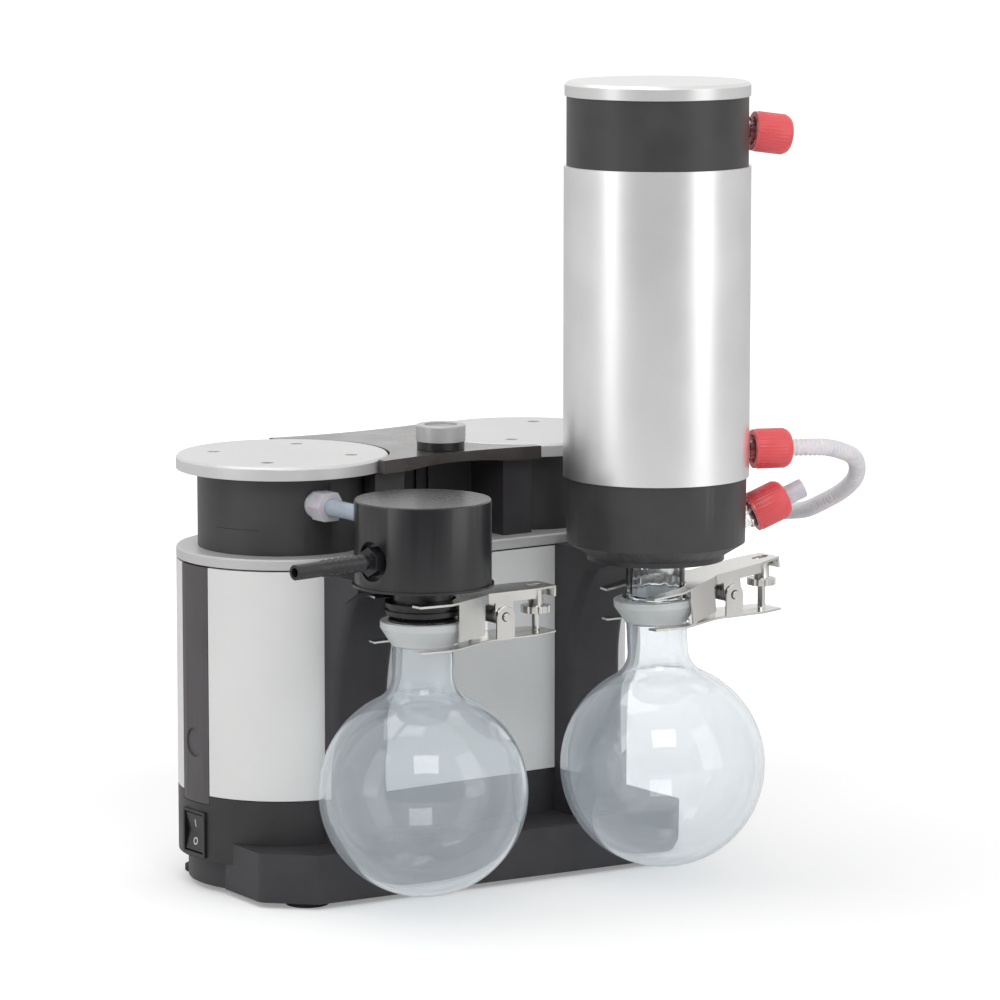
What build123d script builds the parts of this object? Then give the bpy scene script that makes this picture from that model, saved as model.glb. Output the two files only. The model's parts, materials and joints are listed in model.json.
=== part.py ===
import os
from math import asin, cos, degrees, pi, radians, sin, sqrt, tan

from build123d import *

os.makedirs("parts", exist_ok=True)

# Sizes of the pump body, in millimetres
tower_spacing = 151.5
body_radius = 54.7
panel_thickness = 2.0
shell_wall = 2.5
housing_wall = 3.0
foot_height = 3.0
foot_radius = 11.0
foot_reach_x = 100.0
foot_reach_y = 38.0
foot_front_left = -58.0
foot_front_right = -72.0
plinth_height = 14.0
apron_rise = 11.0
housing_height = 33.6
panel_height = 117.8
deck_gap = 0.8
deck_thickness = 5.5
head_height = 39.7
cover_thickness = 7.0
strip_half_angle = 12.5
seam = 0.3
fit_gap = 0.05
running_gap = 0.3

# Sizes of the base tray
apron_left = 125.5
apron_right = 126.5
apron_back = 18.0
apron_corner_depth = 54.0
apron_front_left = 75.0
apron_front_right = 93.0
apron_facet = 21.0
plinth_inset = 5.0
tray_wall = 3.0
tray_floor = 3.0
board_length = 160.0
board_width = 62.0
board_thickness = 1.6
board_lift = 4.0
board_post_radius = 3.0
board_post_inset = 6.0
transformer_place = -48.0
transformer_length = 34.0
transformer_width = 30.0
transformer_height = 24.0
capacitor_place = -10.0
capacitor_offset = 12.0
capacitor_radius = 8.0
capacitor_height = 20.0
sink_place = 40.0
sink_pitch = 6.0
sink_fins = 5
sink_fin = 2.0
sink_length = 36.0
sink_height = 16.0

# Sizes of the heads, the covers and the pump works
head_radius = 43.6
cover_radius = 54.4
cover_bevel = 1.2
cover_screw_reach = 36.0
cover_screw_radius = 3.2
cover_screw_depth = 3.0
cover_screw_grip = 8.0
crank_radius = 40.0
crank_wall = 4.0
crank_drop = 41.0
crank_floor_thickness = 5.0
diaphragm_radius = 39.0
diaphragm_thickness = 2.0
diaphragm_hub_radius = 15.0
diaphragm_hub_height = 3.0
diaphragm_roll_radius = 30.0
valve_plate_height = 7.5
chamber_depth = 4.9
valve_hole_radius = 2.0
valve_hole_offset = 12.0
rod_length = 69.7
shaft_radius = 5.0
shaft_overhang = 12.0
eccentric_throw = 2.5
eccentric_radius = 12.0
eccentric_width = 12.0
rod_eye_wall = 4.5
rod_eye_width = 11.0
rod_stem_radius = 5.0
rod_plate_radius = 14.0
rod_plate_height = 5.0
bearing_radius = 13.0
bearing_width = 8.0
bearing_boss_wall = 3.5
magnet_radius = 18.5
magnet_length = 30.0
air_gap = 0.6
stator_radius = 38.0
stator_length = 34.0
fan_radius = 26.0
fan_hub_radius = 9.0
fan_width = 5.0
fan_blades = 7
fan_place = 22.0

# Sizes of the carrying bridge and the regulating knob
bridge_tip = 49.0
bridge_half_depth = 53.7
bridge_waist = 48.2
bridge_gap = 0.6
bridge_thickness = 6.8
bridge_middle_thickness = 5.0
core_inset = 3.0
core_web_half = 16.0
core_pocket_half = 31.0
core_rib_width = 2.5
core_rib_depth = 2.0
knob_place_y = -33.0
knob_radius = 12.8
knob_height = 8.6
knob_recess_radius = 8.5
knob_recess_depth = 1.5
knob_seat_radius = 12.3
knob_seat_height = 4.3
knob_stem_radius = 4.0
knob_stem_height = 6.0

# Sizes of the end columns, the switch and the mains inlet
column_tail = 4.2
thumb_recess_rise = 26.4
thumb_recess_radius = 7.5
thumb_recess_depth = 1.2
switch_lift = 1.5
switch_height = 23.5
switch_width = 20.5
switch_rim = 1.6
switch_depth = 16.0
switch_stand = 0.8
rocker_play = 0.5
rocker_depth = 9.0
inlet_lift = 2.0
inlet_height = 28.0
inlet_width = 20.0
inlet_depth = 18.0
inlet_rim = 2.4

# Sizes of the two brackets in front of the towers
bracket_width = 34.0
bracket_edge = 5.0
bracket_flare = 6.0
separator_bracket_x = -69.0
separator_waist_rise = 64.0
separator_waist_reach = 62.4
separator_arm_reach = 79.0
separator_arm_drop = 9.0
separator_nose_reach = 84.0
condenser_bracket_x = 74.0
condenser_waist_rise = 80.0
condenser_waist_reach = 68.0
condenser_arm_reach = 88.0
condenser_arm_drop = 9.5
condenser_nose_reach = 100.0
bracket_nose_drop = 6.0
flask_clearance = 1.2

# Sizes of the separator, its hose barb and the suction line
separator_x = -64.1
separator_y = -109.6
separator_radius = 34.2
separator_height = 43.0
separator_lid_rise = 9.5
separator_wall = 6.0
separator_lip = 1.2
barb_angle = 187.0
barb_lift = 15.0
barb_reach = 49.0
barb_radius = 3.8
barb_root_radius = 3.5
barb_ring_radius = 4.5
barb_ring_count = 7
barb_ring_pitch = 4.0
barb_bore = 2.4
barb_hex = 7.4
barb_hex_length = 6.0
barb_pocket_radius = 10.0
barb_pocket_depth = 4.0
suction_offset = 6.5
suction_drop = 13.9
suction_nut_radius = 8.2
suction_nut_length = 11.0
suction_tube_radius = 4.2
suction_tube_bore = 2.8
suction_tube_end = 86.5
port_depth = 8.0

# Sizes of the condenser
condenser_x = 70.7
condenser_y = -123.1
jacket_radius = 47.35
jacket_wall = 1.5
jacket_height = 157.7
spigot_height = 4.0
collar_radius = 46.0
collar_wall = 4.0
collar_height = 35.0
lid_radius = 47.0
lid_thickness = 7.3
lid_plug = 5.0
lid_edge = 1.5
condenser_base_radius = 46.0
condenser_base_wall = 3.0
condenser_neck_height = 19.5
condenser_taper_height = 9.0
condenser_base_height = 33.8
condenser_base_foot_radius = 35.0
condenser_floor = 2.0
condenser_base_step = 2.5
vessel_radius = 36.0
vessel_wall = 2.0
vessel_head_gap = 2.0
funnel_rise = 5.5
coil_radius = 30.3
coil_tube_radius = 3.5
coil_pitch = 30.0
coil_drop = 7.3
coil_head_room = 28.0

# Sizes of the side ports, their screw caps and the hose
port_angle = -22.0
port_radius = 5.5
port_thread_radius = 6.9
port_thread_length = 13.0
port_hole_radius = 7.5
port_stub_start = 35.0
port_bore_start = 32.0
lower_stub_start = 22.0
lower_bore_start = 24.0
cap_radius = 10.0
cap_length = 20.0
cap_standoff = 3.6
lower_cap_gap = 1.4
cap_end_wall = 4.0
cap_edge = 4.0
upper_port_drop = 12.1
upper_port_tilt = -7.5
middle_port_rise = 11.7
middle_port_tilt = 0.0
lower_port_drop = 1.2
lower_port_tilt = 24.0
nozzle_flange_radius = 6.4
nozzle_flange = 1.6
middle_nozzle_radius = 3.6
middle_nozzle_length = 0.6
lower_nozzle_radius = 5.0
lower_nozzle_collar = 0.2
lower_nozzle_length = 10.0
nozzle_bore = 2.4
outlet_drop = 14.4
outlet_nut_length = 9.0
outlet_stem_length = 5.0
hose_radius = 4.5
hose_first_run = 12.1

# Sizes of the ball joints and the flasks
joint_drop = 17.0
ball_radius = 17.3
ball_depth = 13.4
ball_bore = 8.0
joint_neck_radius = 15.0
joint_neck_start = 1.5
joint_collar_radius = 19.4
joint_collar_lift = 2.6
joint_collar_height = 6.4
joint_groove_depth = 1.2
joint_groove_lift = 2.6
joint_neck_bore = 12.0
flask_radius = 52.5
flask_wall = 1.8
flask_neck_radius = 15.5
flask_shoulder = 14.0
cup_radius = 21.5
cup_rim = 0.8
cup_rim_height = 3.4
cup_foot = 13.5
bulb_drop = 88.0
left_lean_x = 0.0
left_lean_y = 0.0
right_lean_x = 3.8
right_lean_y = -1.5

# Sizes of the fork clamps
clamp_sheet = 1.2
clamp_tip = -20.0
clamp_prong_half = 25.0
clamp_upper_slot = 16.5
clamp_lower_slot = 17.3
clamp_pivot = 42.0
clamp_pivot_drop = 2.0
clamp_tail = 76.0
clamp_tail_half = 8.0
clamp_neck_half = 10.8
clamp_rise = 11.2
clamp_drop = 11.8
clamp_web_start = 6.0
clamp_web_start_half = 23.0
clamp_web_end = 28.5
clamp_web_end_half = 13.3
clamp_flange_end = 61.5
clamp_flange_depth = 4.0
clamp_tail_lip = 4.5
left_web_depth = 19.0
right_web_depth = 17.0
clamp_ear_radius = 5.5
clamp_pin_radius = 2.0
clamp_screw = 69.0
clamp_screw_radius = 2.0
clamp_nut_radius = 7.5
clamp_nut_height = 3.6
clamp_hub_radius = 4.0
clamp_hub_height = 9.0
clamp_nut_flutes = 12
right_clamp_tilt = 7.0
spring_radius = 4.4
spring_half_length = 7.0
spring_turns = 5

# Heights worked out from the sizes, from the floor up; the separator hangs by its suction line
plinth_top = foot_height + plinth_height
apron_top = plinth_top + apron_rise
housing_top = plinth_top + housing_height
panel_top = housing_top + panel_height
deck_bottom = panel_top + deck_gap
deck_top = deck_bottom + deck_thickness
head_top = deck_top + head_height
cover_top = head_top + cover_thickness
shaft_height = deck_top - rod_length
crank_floor = shaft_height - crank_drop
bridge_bottom = head_top
bridge_top = bridge_bottom + bridge_thickness
suction_height = head_top - suction_drop
outlet_height = head_top - outlet_drop
separator_top = suction_height + separator_lid_rise
separator_bottom = separator_top - separator_height
joint_height = separator_bottom - joint_drop
joint_collar_bottom = joint_height + joint_collar_lift
joint_collar_top = joint_collar_bottom + joint_collar_height
joint_groove_bottom = joint_collar_bottom + joint_groove_lift
condenser_base_bottom = joint_height + condenser_neck_height
condenser_base_shoulder = condenser_base_bottom + condenser_taper_height
jacket_bottom = condenser_base_shoulder + condenser_base_height
jacket_top = jacket_bottom + jacket_height
collar_top = jacket_top + collar_height
lid_top = collar_top + lid_thickness
vessel_top = collar_top - lid_plug - vessel_head_gap
funnel_top = condenser_base_shoulder + funnel_rise
coil_bottom = jacket_bottom - coil_drop
coil_height = vessel_top - coil_head_room - coil_bottom
clamp_pivot_height = joint_height - clamp_pivot_drop

# Places worked out from the sizes: the part's origin is on the floor under the middle of its box
barb_direction = Vector(cos(radians(barb_angle)), sin(radians(barb_angle)), 0)
port_direction = Vector(cos(radians(port_angle)), sin(radians(port_angle)), 0)
barb_tip_distance = separator_radius + barb_reach
cap_start = jacket_radius + cap_standoff
cap_end = cap_start + cap_length
lower_surface = condenser_base_radius / cos(radians(lower_port_tilt)) + lower_cap_gap
lower_cap_end = lower_surface + cap_standoff + cap_length
lower_tip = lower_cap_end + lower_nozzle_length
lower_slope = cos(radians(lower_port_tilt)) * port_direction.X
reach_left = separator_x + barb_tip_distance * barb_direction.X + barb_radius * barb_direction.Y
reach_right = condenser_x + lower_tip * lower_slope + lower_nozzle_radius * sqrt(1 - lower_slope**2)
reach_front = condenser_y + right_lean_y - flask_radius
body_x = -(reach_left + reach_right) / 2
body_y = -(reach_front + body_radius) / 2
left_x = body_x - tower_spacing / 2
right_x = body_x + tower_spacing / 2
towers = (("left", left_x, 1), ("right", right_x, -1))
separator_seat = Plane(origin=(body_x + separator_x, body_y + separator_y, 0))
condenser_seat = Plane(origin=(body_x + condenser_x, body_y + condenser_y, 0))
strip_half = body_radius * sin(radians(strip_half_angle))
shell_radius = body_radius - panel_thickness
crank_bore = crank_radius - crank_wall
pocket_top = deck_top + diaphragm_thickness + valve_plate_height + seam
core_pocket_width = 2 * core_pocket_half


# Planes for shapes that are turned about an upright or a leaning axis
def body_plane(height):
    return Plane(origin=(body_x, body_y, height))


def tower_plane(tower_x, height):
    return Plane(origin=(tower_x, body_y, height))


def turned(seat):
    return Plane(origin=seat.origin, x_dir=seat.x_dir, z_dir=seat.y_dir * -1)


def spindle(seat):
    return Axis(seat.origin, seat.z_dir)


def port_plane(height, tilt):
    out = port_direction * cos(radians(tilt)) + Vector(0, 0, sin(radians(tilt)))
    up = Vector(0, 0, cos(radians(tilt))) - port_direction * sin(radians(tilt))
    return Plane(origin=condenser_seat.origin + Vector(0, 0, height), x_dir=up, z_dir=out)


def cross_plane(x, height):
    return Plane(origin=(x, body_y, height), x_dir=(0, 1, 0), z_dir=(1, 0, 0))


upper_port = port_plane(collar_top - upper_port_drop, upper_port_tilt)
middle_port = port_plane(jacket_bottom + middle_port_rise, middle_port_tilt)
lower_port = port_plane(condenser_base_bottom - lower_port_drop, lower_port_tilt)
upper_surface = collar_radius / cos(radians(upper_port_tilt))
barb_origin = separator_seat.origin + Vector(0, 0, separator_bottom + barb_lift)
barb_seat = Plane(origin=barb_origin, x_dir=(0, 0, 1), z_dir=barb_direction)
suction_x = left_x - suction_offset
suction_seat = Plane(origin=(suction_x, body_y, suction_height), x_dir=(1, 0, 0), z_dir=(0, -1, 0))
outlet_seat = cross_plane(right_x, outlet_height)
port_floor = head_radius - port_depth
jacket_bore = jacket_radius - jacket_wall
condenser_base_bore = condenser_base_radius - condenser_base_wall
left_joint = separator_seat.origin + Vector(0, 0, joint_height)
right_joint = condenser_seat.origin + Vector(0, 0, joint_height)
flask_seats = {
    "left": Plane(origin=left_joint, z_dir=(-left_lean_x, -left_lean_y, bulb_drop)),
    "right": Plane(origin=right_joint, z_dir=(-right_lean_x, -right_lean_y, bulb_drop)),
}
hose_points = [
    middle_port.origin + middle_port.z_dir * (cap_end + hose_first_run),
    Vector(body_x + 160.6, body_y - 154.9, 222.7),
    Vector(body_x + 183.6, body_y - 147.9, 215.1),
    Vector(body_x + 193.7, body_y - 133.4, 198.3),
    Vector(body_x + 191.7, body_y - 99.4, 181.6),
    Vector(body_x + 202.5, body_y - 75.5, 176.5),
    Vector(body_x + 197.4, body_y - 42.7, 171.8),
    Vector(body_x + 187.1, body_y - 14, 189.2),
    Vector(body_x + 160.6, body_y, outlet_height),
]

# Rubber feet
with BuildPart() as rubber_feet:
    with BuildSketch(body_plane(0)):
        with Locations((-foot_reach_x, foot_reach_y), (foot_reach_x, foot_reach_y)):
            Circle(foot_radius)
        with Locations((-foot_reach_x, foot_front_left), (foot_reach_x, foot_front_right)):
            Circle(foot_radius)
    extrude(amount=foot_height)
    chamfer(rubber_feet.faces().sort_by(Axis.Z)[0].edges(), foot_height / 4)
rubber_feet.part.label = "rubber_feet"
export_step(rubber_feet.part, "parts/rubber_feet.step")

# Base tray: a plinth under the towers and a faceted apron under the flasks
with BuildPart() as base_tray:
    with BuildSketch(body_plane(foot_height)) as plinth:
        SlotCenterToCenter(tower_spacing, 2 * (body_radius - plinth_inset))
    extrude(amount=plinth_top - foot_height)
    with BuildSketch(body_plane(foot_height)) as apron:
        with BuildLine():
            Polyline(
                (-apron_left + 1.8, -apron_back),
                (-apron_left, -apron_corner_depth),
                (-apron_left + apron_facet, -apron_front_left),
                (apron_right - apron_facet, -apron_front_right),
                (apron_right, -apron_front_right + apron_facet),
                (apron_right - 1.8, -apron_back),
                close=True,
            )
        make_face()
        fillet(apron.vertices().group_by(Axis.Y)[0], 12)
        fillet(apron.vertices().sort_by(Axis.X)[0], 6)
    extrude(amount=apron_top - foot_height)
    fillet(base_tray.faces().sort_by(Axis.Z)[-1].edges().sort_by(Axis.Y)[:3], 1.0)
    with BuildSketch(body_plane(plinth_top)):
        SlotCenterToCenter(tower_spacing, 2 * (body_radius + seam))
    extrude(amount=apron_top, mode=Mode.SUBTRACT)
    with BuildSketch(body_plane(foot_height + tray_floor)):
        SlotCenterToCenter(tower_spacing, 2 * (body_radius - plinth_inset - tray_wall))
    extrude(amount=plinth_top, mode=Mode.SUBTRACT)
    with BuildSketch(body_plane(foot_height + tray_floor)):
        offset(apron.sketch_local, -tray_wall)
    extrude(amount=plinth_top - foot_height - 2 * tray_floor, mode=Mode.SUBTRACT)
    for ball_seat in flask_seats.values():
        with Locations(ball_seat.origin - ball_seat.z_dir * bulb_drop):
            Sphere(flask_radius + flask_clearance, mode=Mode.SUBTRACT)
base_tray.part.label = "base_tray"
export_step(base_tray.part, "parts/base_tray.step")

# Control board on the tray floor, with its transformer, capacitors and heat sink
board_bottom = foot_height + tray_floor + board_lift
with BuildPart() as control_board:
    with BuildSketch(body_plane(board_bottom)):
        Rectangle(board_length, board_width)
    extrude(amount=board_thickness)
    with BuildSketch(body_plane(board_bottom)):
        with GridLocations(board_length - 2 * board_post_inset, board_width - 2 * board_post_inset, 2, 2):
            Circle(board_post_radius)
    extrude(amount=-board_lift)
    with BuildSketch(body_plane(board_bottom + board_thickness)):
        with Locations((transformer_place, 0)):
            Rectangle(transformer_length, transformer_width)
    extrude(amount=transformer_height)
    with BuildSketch(body_plane(board_bottom + board_thickness)):
        with Locations((capacitor_place, -capacitor_offset), (capacitor_place, capacitor_offset)):
            Circle(capacitor_radius)
    extrude(amount=capacitor_height)
    with BuildSketch(body_plane(board_bottom + board_thickness)):
        with GridLocations(sink_pitch, 0, sink_fins, 1):
            with Locations((sink_place, 0)):
                Rectangle(sink_fin, sink_length)
    extrude(amount=sink_height)
control_board.part.label = "control_board"
export_step(control_board.part, "parts/control_board.step")

# Lower housing: a stadium ring with windows for the switch and the mains inlet
column_bottom = housing_top - column_tail
switch_bottom = plinth_top + switch_lift
switch_middle = switch_bottom + switch_height / 2
inlet_middle = plinth_top + inlet_lift + inlet_height / 2
with BuildPart() as lower_housing:
    with BuildSketch(body_plane(plinth_top)):
        SlotCenterToCenter(tower_spacing, 2 * body_radius)
        SlotCenterToCenter(tower_spacing, 2 * (body_radius - housing_wall), mode=Mode.SUBTRACT)
    extrude(amount=housing_top - plinth_top)
    with BuildSketch(cross_plane(left_x, column_bottom - seam)):
        Rectangle(2 * (strip_half + seam), housing_top, align=(Align.CENTER, Align.MIN))
    extrude(amount=-2 * body_radius, mode=Mode.SUBTRACT)
    with BuildSketch(cross_plane(left_x, switch_middle)):
        Rectangle(switch_width + 2 * fit_gap, switch_height + 2 * fit_gap)
    extrude(amount=-2 * body_radius, mode=Mode.SUBTRACT)
    with BuildSketch(cross_plane(right_x, inlet_middle)):
        Rectangle(inlet_width + 2 * fit_gap, inlet_height + 2 * fit_gap)
    extrude(amount=2 * body_radius, mode=Mode.SUBTRACT)
lower_housing.part.label = "lower_housing"
export_step(lower_housing.part, "parts/lower_housing.step")

# Housing shell: the inner ring that carries the panels, the columns and the deck
with BuildPart() as housing_shell:
    with BuildSketch(body_plane(housing_top)):
        SlotCenterToCenter(tower_spacing, 2 * shell_radius)
        SlotCenterToCenter(tower_spacing, 2 * (shell_radius - shell_wall), mode=Mode.SUBTRACT)
    extrude(amount=deck_bottom - housing_top)
housing_shell.part.label = "housing_shell"
export_step(housing_shell.part, "parts/housing_shell.step")

# Front and rear panels: curved sheets that stop at the end columns
panel_cuts = {"front_panel": -1, "rear_panel": 1}
for panel_name, panel_side in panel_cuts.items():
    with BuildPart() as panel:
        with BuildSketch(body_plane(housing_top + seam)):
            SlotCenterToCenter(tower_spacing, 2 * body_radius)
            SlotCenterToCenter(tower_spacing, 2 * shell_radius, mode=Mode.SUBTRACT)
            with Locations((0, panel_side * (strip_half + seam))):
                keep = (Align.CENTER, Align.MAX if panel_side < 0 else Align.MIN)
                Rectangle(4 * tower_spacing, 2 * body_radius, align=keep, mode=Mode.INTERSECT)
        extrude(amount=panel_top - housing_top - seam)
    panel.part.label = panel_name
    export_step(panel.part, f"parts/{panel_name}.step")

# End columns: the strips at both ends, the left one with a round thumb recess
with BuildPart() as end_columns:
    with BuildSketch(body_plane(housing_top)):
        SlotCenterToCenter(tower_spacing, 2 * body_radius)
        SlotCenterToCenter(tower_spacing, 2 * shell_radius, mode=Mode.SUBTRACT)
        Rectangle(4 * tower_spacing, 2 * strip_half, mode=Mode.INTERSECT)
    extrude(amount=panel_top - housing_top)
    with BuildSketch(body_plane(column_bottom)):
        SlotCenterToCenter(tower_spacing, 2 * body_radius)
        SlotCenterToCenter(tower_spacing, 2 * shell_radius, mode=Mode.SUBTRACT)
        Rectangle(2 * tower_spacing, 2 * strip_half, align=(Align.MAX, Align.CENTER), mode=Mode.INTERSECT)
    extrude(amount=column_tail)
    thumb_recess_x = left_x - body_radius + thumb_recess_depth
    with BuildSketch(cross_plane(thumb_recess_x, housing_top + thumb_recess_rise)):
        Circle(thumb_recess_radius)
    extrude(amount=-body_radius, mode=Mode.SUBTRACT)
end_columns.part.label = "end_columns"
export_step(end_columns.part, "parts/end_columns.step")

# Switch frame: a box set in the left end, open at its face for the rocker
switch_face = left_x - body_radius
rocker_radius = switch_height / 2 - switch_rim - rocker_play
with BuildPart() as switch_frame:
    with BuildSketch(cross_plane(switch_face - switch_stand, switch_middle)):
        RectangleRounded(switch_width, switch_height, 1.0)
    extrude(amount=switch_depth)
    with BuildSketch(cross_plane(switch_face - switch_stand, switch_middle)):
        Rectangle(switch_width - 2 * switch_rim, switch_height - 2 * switch_rim)
    extrude(amount=switch_depth - switch_rim, mode=Mode.SUBTRACT)
switch_frame.part.label = "switch_frame"
export_step(switch_frame.part, "parts/switch_frame.step")

# Rocker: a bent key on a cross pin inside the frame
rocker_half_width = switch_width / 2 - switch_rim - running_gap
rocker_origin = (switch_face, body_y + rocker_half_width, switch_middle)
with BuildPart() as rocker:
    with BuildSketch(Plane(origin=rocker_origin, x_dir=(1, 0, 0), z_dir=(0, -1, 0))):
        with BuildLine():
            Polyline(
                (-0.2, -rocker_radius),
                (1.3, 0),
                (-0.2, rocker_radius),
                (rocker_depth - 3, rocker_radius - 1.5),
                (rocker_depth, 3),
                (rocker_depth, -3),
                (rocker_depth - 3, -rocker_radius + 1.5),
                close=True,
            )
        make_face()
    extrude(amount=2 * rocker_half_width)
rocker.part.label = "rocker"
export_step(rocker.part, "parts/rocker.step")

# Mains inlet: an upright socket with three blades, set in the right end
inlet_face = right_x + body_radius + switch_stand
with BuildPart() as mains_inlet:
    with BuildSketch(cross_plane(inlet_face, inlet_middle)):
        RectangleRounded(inlet_width, inlet_height, 1.5)
    extrude(amount=-inlet_depth)
    with BuildSketch(cross_plane(inlet_face, inlet_middle)):
        RectangleRounded(inlet_width - 2 * inlet_rim, inlet_height - 2 * inlet_rim, 3.0)
    extrude(amount=-inlet_depth + inlet_rim, mode=Mode.SUBTRACT)
    with BuildSketch(cross_plane(inlet_face - inlet_depth + inlet_rim, inlet_middle)):
        with Locations((0, 7), (3, 0), (0, -7)):
            Rectangle(4.0, 2.0)
    extrude(amount=inlet_depth - inlet_rim - 4)
mains_inlet.part.label = "mains_inlet"
export_step(mains_inlet.part, "parts/mains_inlet.step")

# Top deck: the light plate that the heads stand on
with BuildPart() as top_deck:
    with BuildSketch(body_plane(deck_bottom)):
        SlotCenterToCenter(tower_spacing, 2 * body_radius)
        with GridLocations(tower_spacing, 0, 2, 1):
            Circle(crank_radius + running_gap, mode=Mode.SUBTRACT)
    extrude(amount=deck_top - deck_bottom)
    chamfer(top_deck.faces().sort_by(Axis.Z)[-1].outer_wire().edges(), 0.8)
top_deck.part.label = "top_deck"
export_step(top_deck.part, "parts/top_deck.step")

# Crank housings: cups under the heads, each with a bearing boss towards the motor
with BuildPart() as crank_housings:
    for side, tower_x, inward in towers:
        with BuildSketch(tower_plane(tower_x, crank_floor)):
            Circle(crank_radius)
        extrude(amount=deck_top - crank_floor)
    for side, tower_x, inward in towers:
        with BuildSketch(cross_plane(tower_x + inward * (crank_bore - bearing_width), shaft_height)):
            Circle(bearing_radius + bearing_boss_wall)
        extrude(amount=inward * (bearing_width + crank_wall))
    for side, tower_x, inward in towers:
        with BuildSketch(tower_plane(tower_x, crank_floor + crank_floor_thickness)):
            Circle(crank_bore)
        extrude(amount=deck_top - crank_floor, mode=Mode.SUBTRACT)
        with BuildSketch(cross_plane(tower_x + inward * (crank_bore - 4), shaft_height)):
            Circle(bearing_radius + fit_gap)
        extrude(amount=inward * (crank_wall + 8), mode=Mode.SUBTRACT)
crank_housings.part.label = "crank_housings"
export_step(crank_housings.part, "parts/crank_housings.step")

# Shaft bearings: a ring in each crank housing's boss
bearing_place = crank_radius - bearing_width
with BuildPart() as shaft_bearings:
    for side, tower_x, inward in towers:
        with BuildSketch(cross_plane(tower_x + inward * bearing_place, shaft_height)):
            Circle(bearing_radius)
            Circle(shaft_radius + fit_gap, mode=Mode.SUBTRACT)
        extrude(amount=inward * bearing_width)
shaft_bearings.part.label = "shaft_bearings"
export_step(shaft_bearings.part, "parts/shaft_bearings.step")

# Motor stator: a slotted ring between the crank housings, with two feet down to the tray
with BuildPart() as motor_stator:
    with BuildSketch(cross_plane(body_x - stator_length / 2, shaft_height)):
        Circle(stator_radius)
        Circle(magnet_radius + air_gap, mode=Mode.SUBTRACT)
        with PolarLocations(magnet_radius + 9, 9):
            Rectangle(10, 5, mode=Mode.SUBTRACT)
    extrude(amount=stator_length)
    with BuildSketch(body_plane(shaft_height - stator_radius + 4)):
        with Locations((0, -16), (0, 16)):
            Rectangle(stator_length, 6)
    extrude(amount=-(shaft_height - stator_radius + 4 - board_bottom - board_thickness - transformer_height))
motor_stator.part.label = "motor_stator"
export_step(motor_stator.part, "parts/motor_stator.step")

# Rotor shaft with an eccentric over each tower's axis, half a turn apart
with BuildPart() as rotor_shaft:
    with BuildSketch(cross_plane(left_x - shaft_overhang, shaft_height)):
        Circle(shaft_radius)
    extrude(amount=tower_spacing + 2 * shaft_overhang)
    for side, tower_x, inward in towers:
        with BuildSketch(cross_plane(tower_x - eccentric_width / 2, shaft_height + inward * eccentric_throw)):
            Circle(eccentric_radius)
        extrude(amount=eccentric_width)
rotor_shaft.part.label = "rotor_shaft"
export_step(rotor_shaft.part, "parts/rotor_shaft.step")

# Rotor magnet: a sleeve on the shaft inside the stator
with BuildPart() as rotor_magnet:
    with BuildSketch(cross_plane(body_x - magnet_length / 2, shaft_height)):
        Circle(magnet_radius)
        Circle(shaft_radius + fit_gap, mode=Mode.SUBTRACT)
    extrude(amount=magnet_length)
rotor_magnet.part.label = "rotor_magnet"
export_step(rotor_magnet.part, "parts/rotor_magnet.step")

# Cooling fan on the shaft beside the stator
with BuildPart() as cooling_fan:
    with BuildSketch(cross_plane(body_x + fan_place, shaft_height)):
        Circle(fan_hub_radius)
        with PolarLocations((fan_hub_radius + fan_radius) / 2 - 1, fan_blades):
            Rectangle(fan_radius - fan_hub_radius + 2, 3.0)
        Circle(shaft_radius + fit_gap, mode=Mode.SUBTRACT)
    extrude(amount=fan_width)
cooling_fan.part.label = "cooling_fan"
export_step(cooling_fan.part, "parts/cooling_fan.step")

# Connecting rods: an eye round the eccentric, a stem and a plate under the diaphragm
for side, tower_x, inward in towers:
    rod_lift = inward * eccentric_throw
    rod_top = deck_top + rod_lift
    eye_height = shaft_height + rod_lift
    with BuildPart() as conrod:
        with BuildSketch(tower_plane(tower_x, eye_height)):
            Circle(rod_stem_radius)
        extrude(amount=rod_top - eye_height - rod_plate_height / 2)
        with BuildSketch(tower_plane(tower_x, rod_top - rod_plate_height)):
            Circle(rod_plate_radius)
        extrude(amount=rod_plate_height)
        with BuildSketch(cross_plane(tower_x - rod_eye_width / 2, eye_height)):
            Circle(eccentric_radius + rod_eye_wall)
        extrude(amount=rod_eye_width)
        with BuildSketch(cross_plane(tower_x - rod_eye_width, eye_height)):
            Circle(eccentric_radius + fit_gap)
        extrude(amount=2 * rod_eye_width, mode=Mode.SUBTRACT)
    conrod.part.label = f"conrod_{side}"
    export_step(conrod.part, f"parts/conrod_{side}.step")

# Diaphragms: a clamped rim, a rolled web and a hub that sits on the rod's plate
with BuildPart() as diaphragms:
    for side, tower_x, inward in towers:
        rim = deck_top
        hub = deck_top + inward * eccentric_throw
        seat = tower_plane(tower_x, 0)
        with BuildSketch(turned(seat)):
            with BuildLine():
                Polyline(
                    (0, hub),
                    (diaphragm_hub_radius, hub),
                    (diaphragm_roll_radius, rim),
                    (diaphragm_radius, rim),
                    (diaphragm_radius, rim + diaphragm_thickness),
                    (diaphragm_roll_radius - 1, rim + diaphragm_thickness),
                    (diaphragm_hub_radius + 2, hub + diaphragm_thickness),
                    (diaphragm_hub_radius - 3, hub + diaphragm_hub_height),
                    (0, hub + diaphragm_hub_height),
                    close=True,
                )
            make_face()
        revolve(axis=spindle(seat))
diaphragms.part.label = "diaphragms"
export_step(diaphragms.part, "parts/diaphragms.step")

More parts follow.
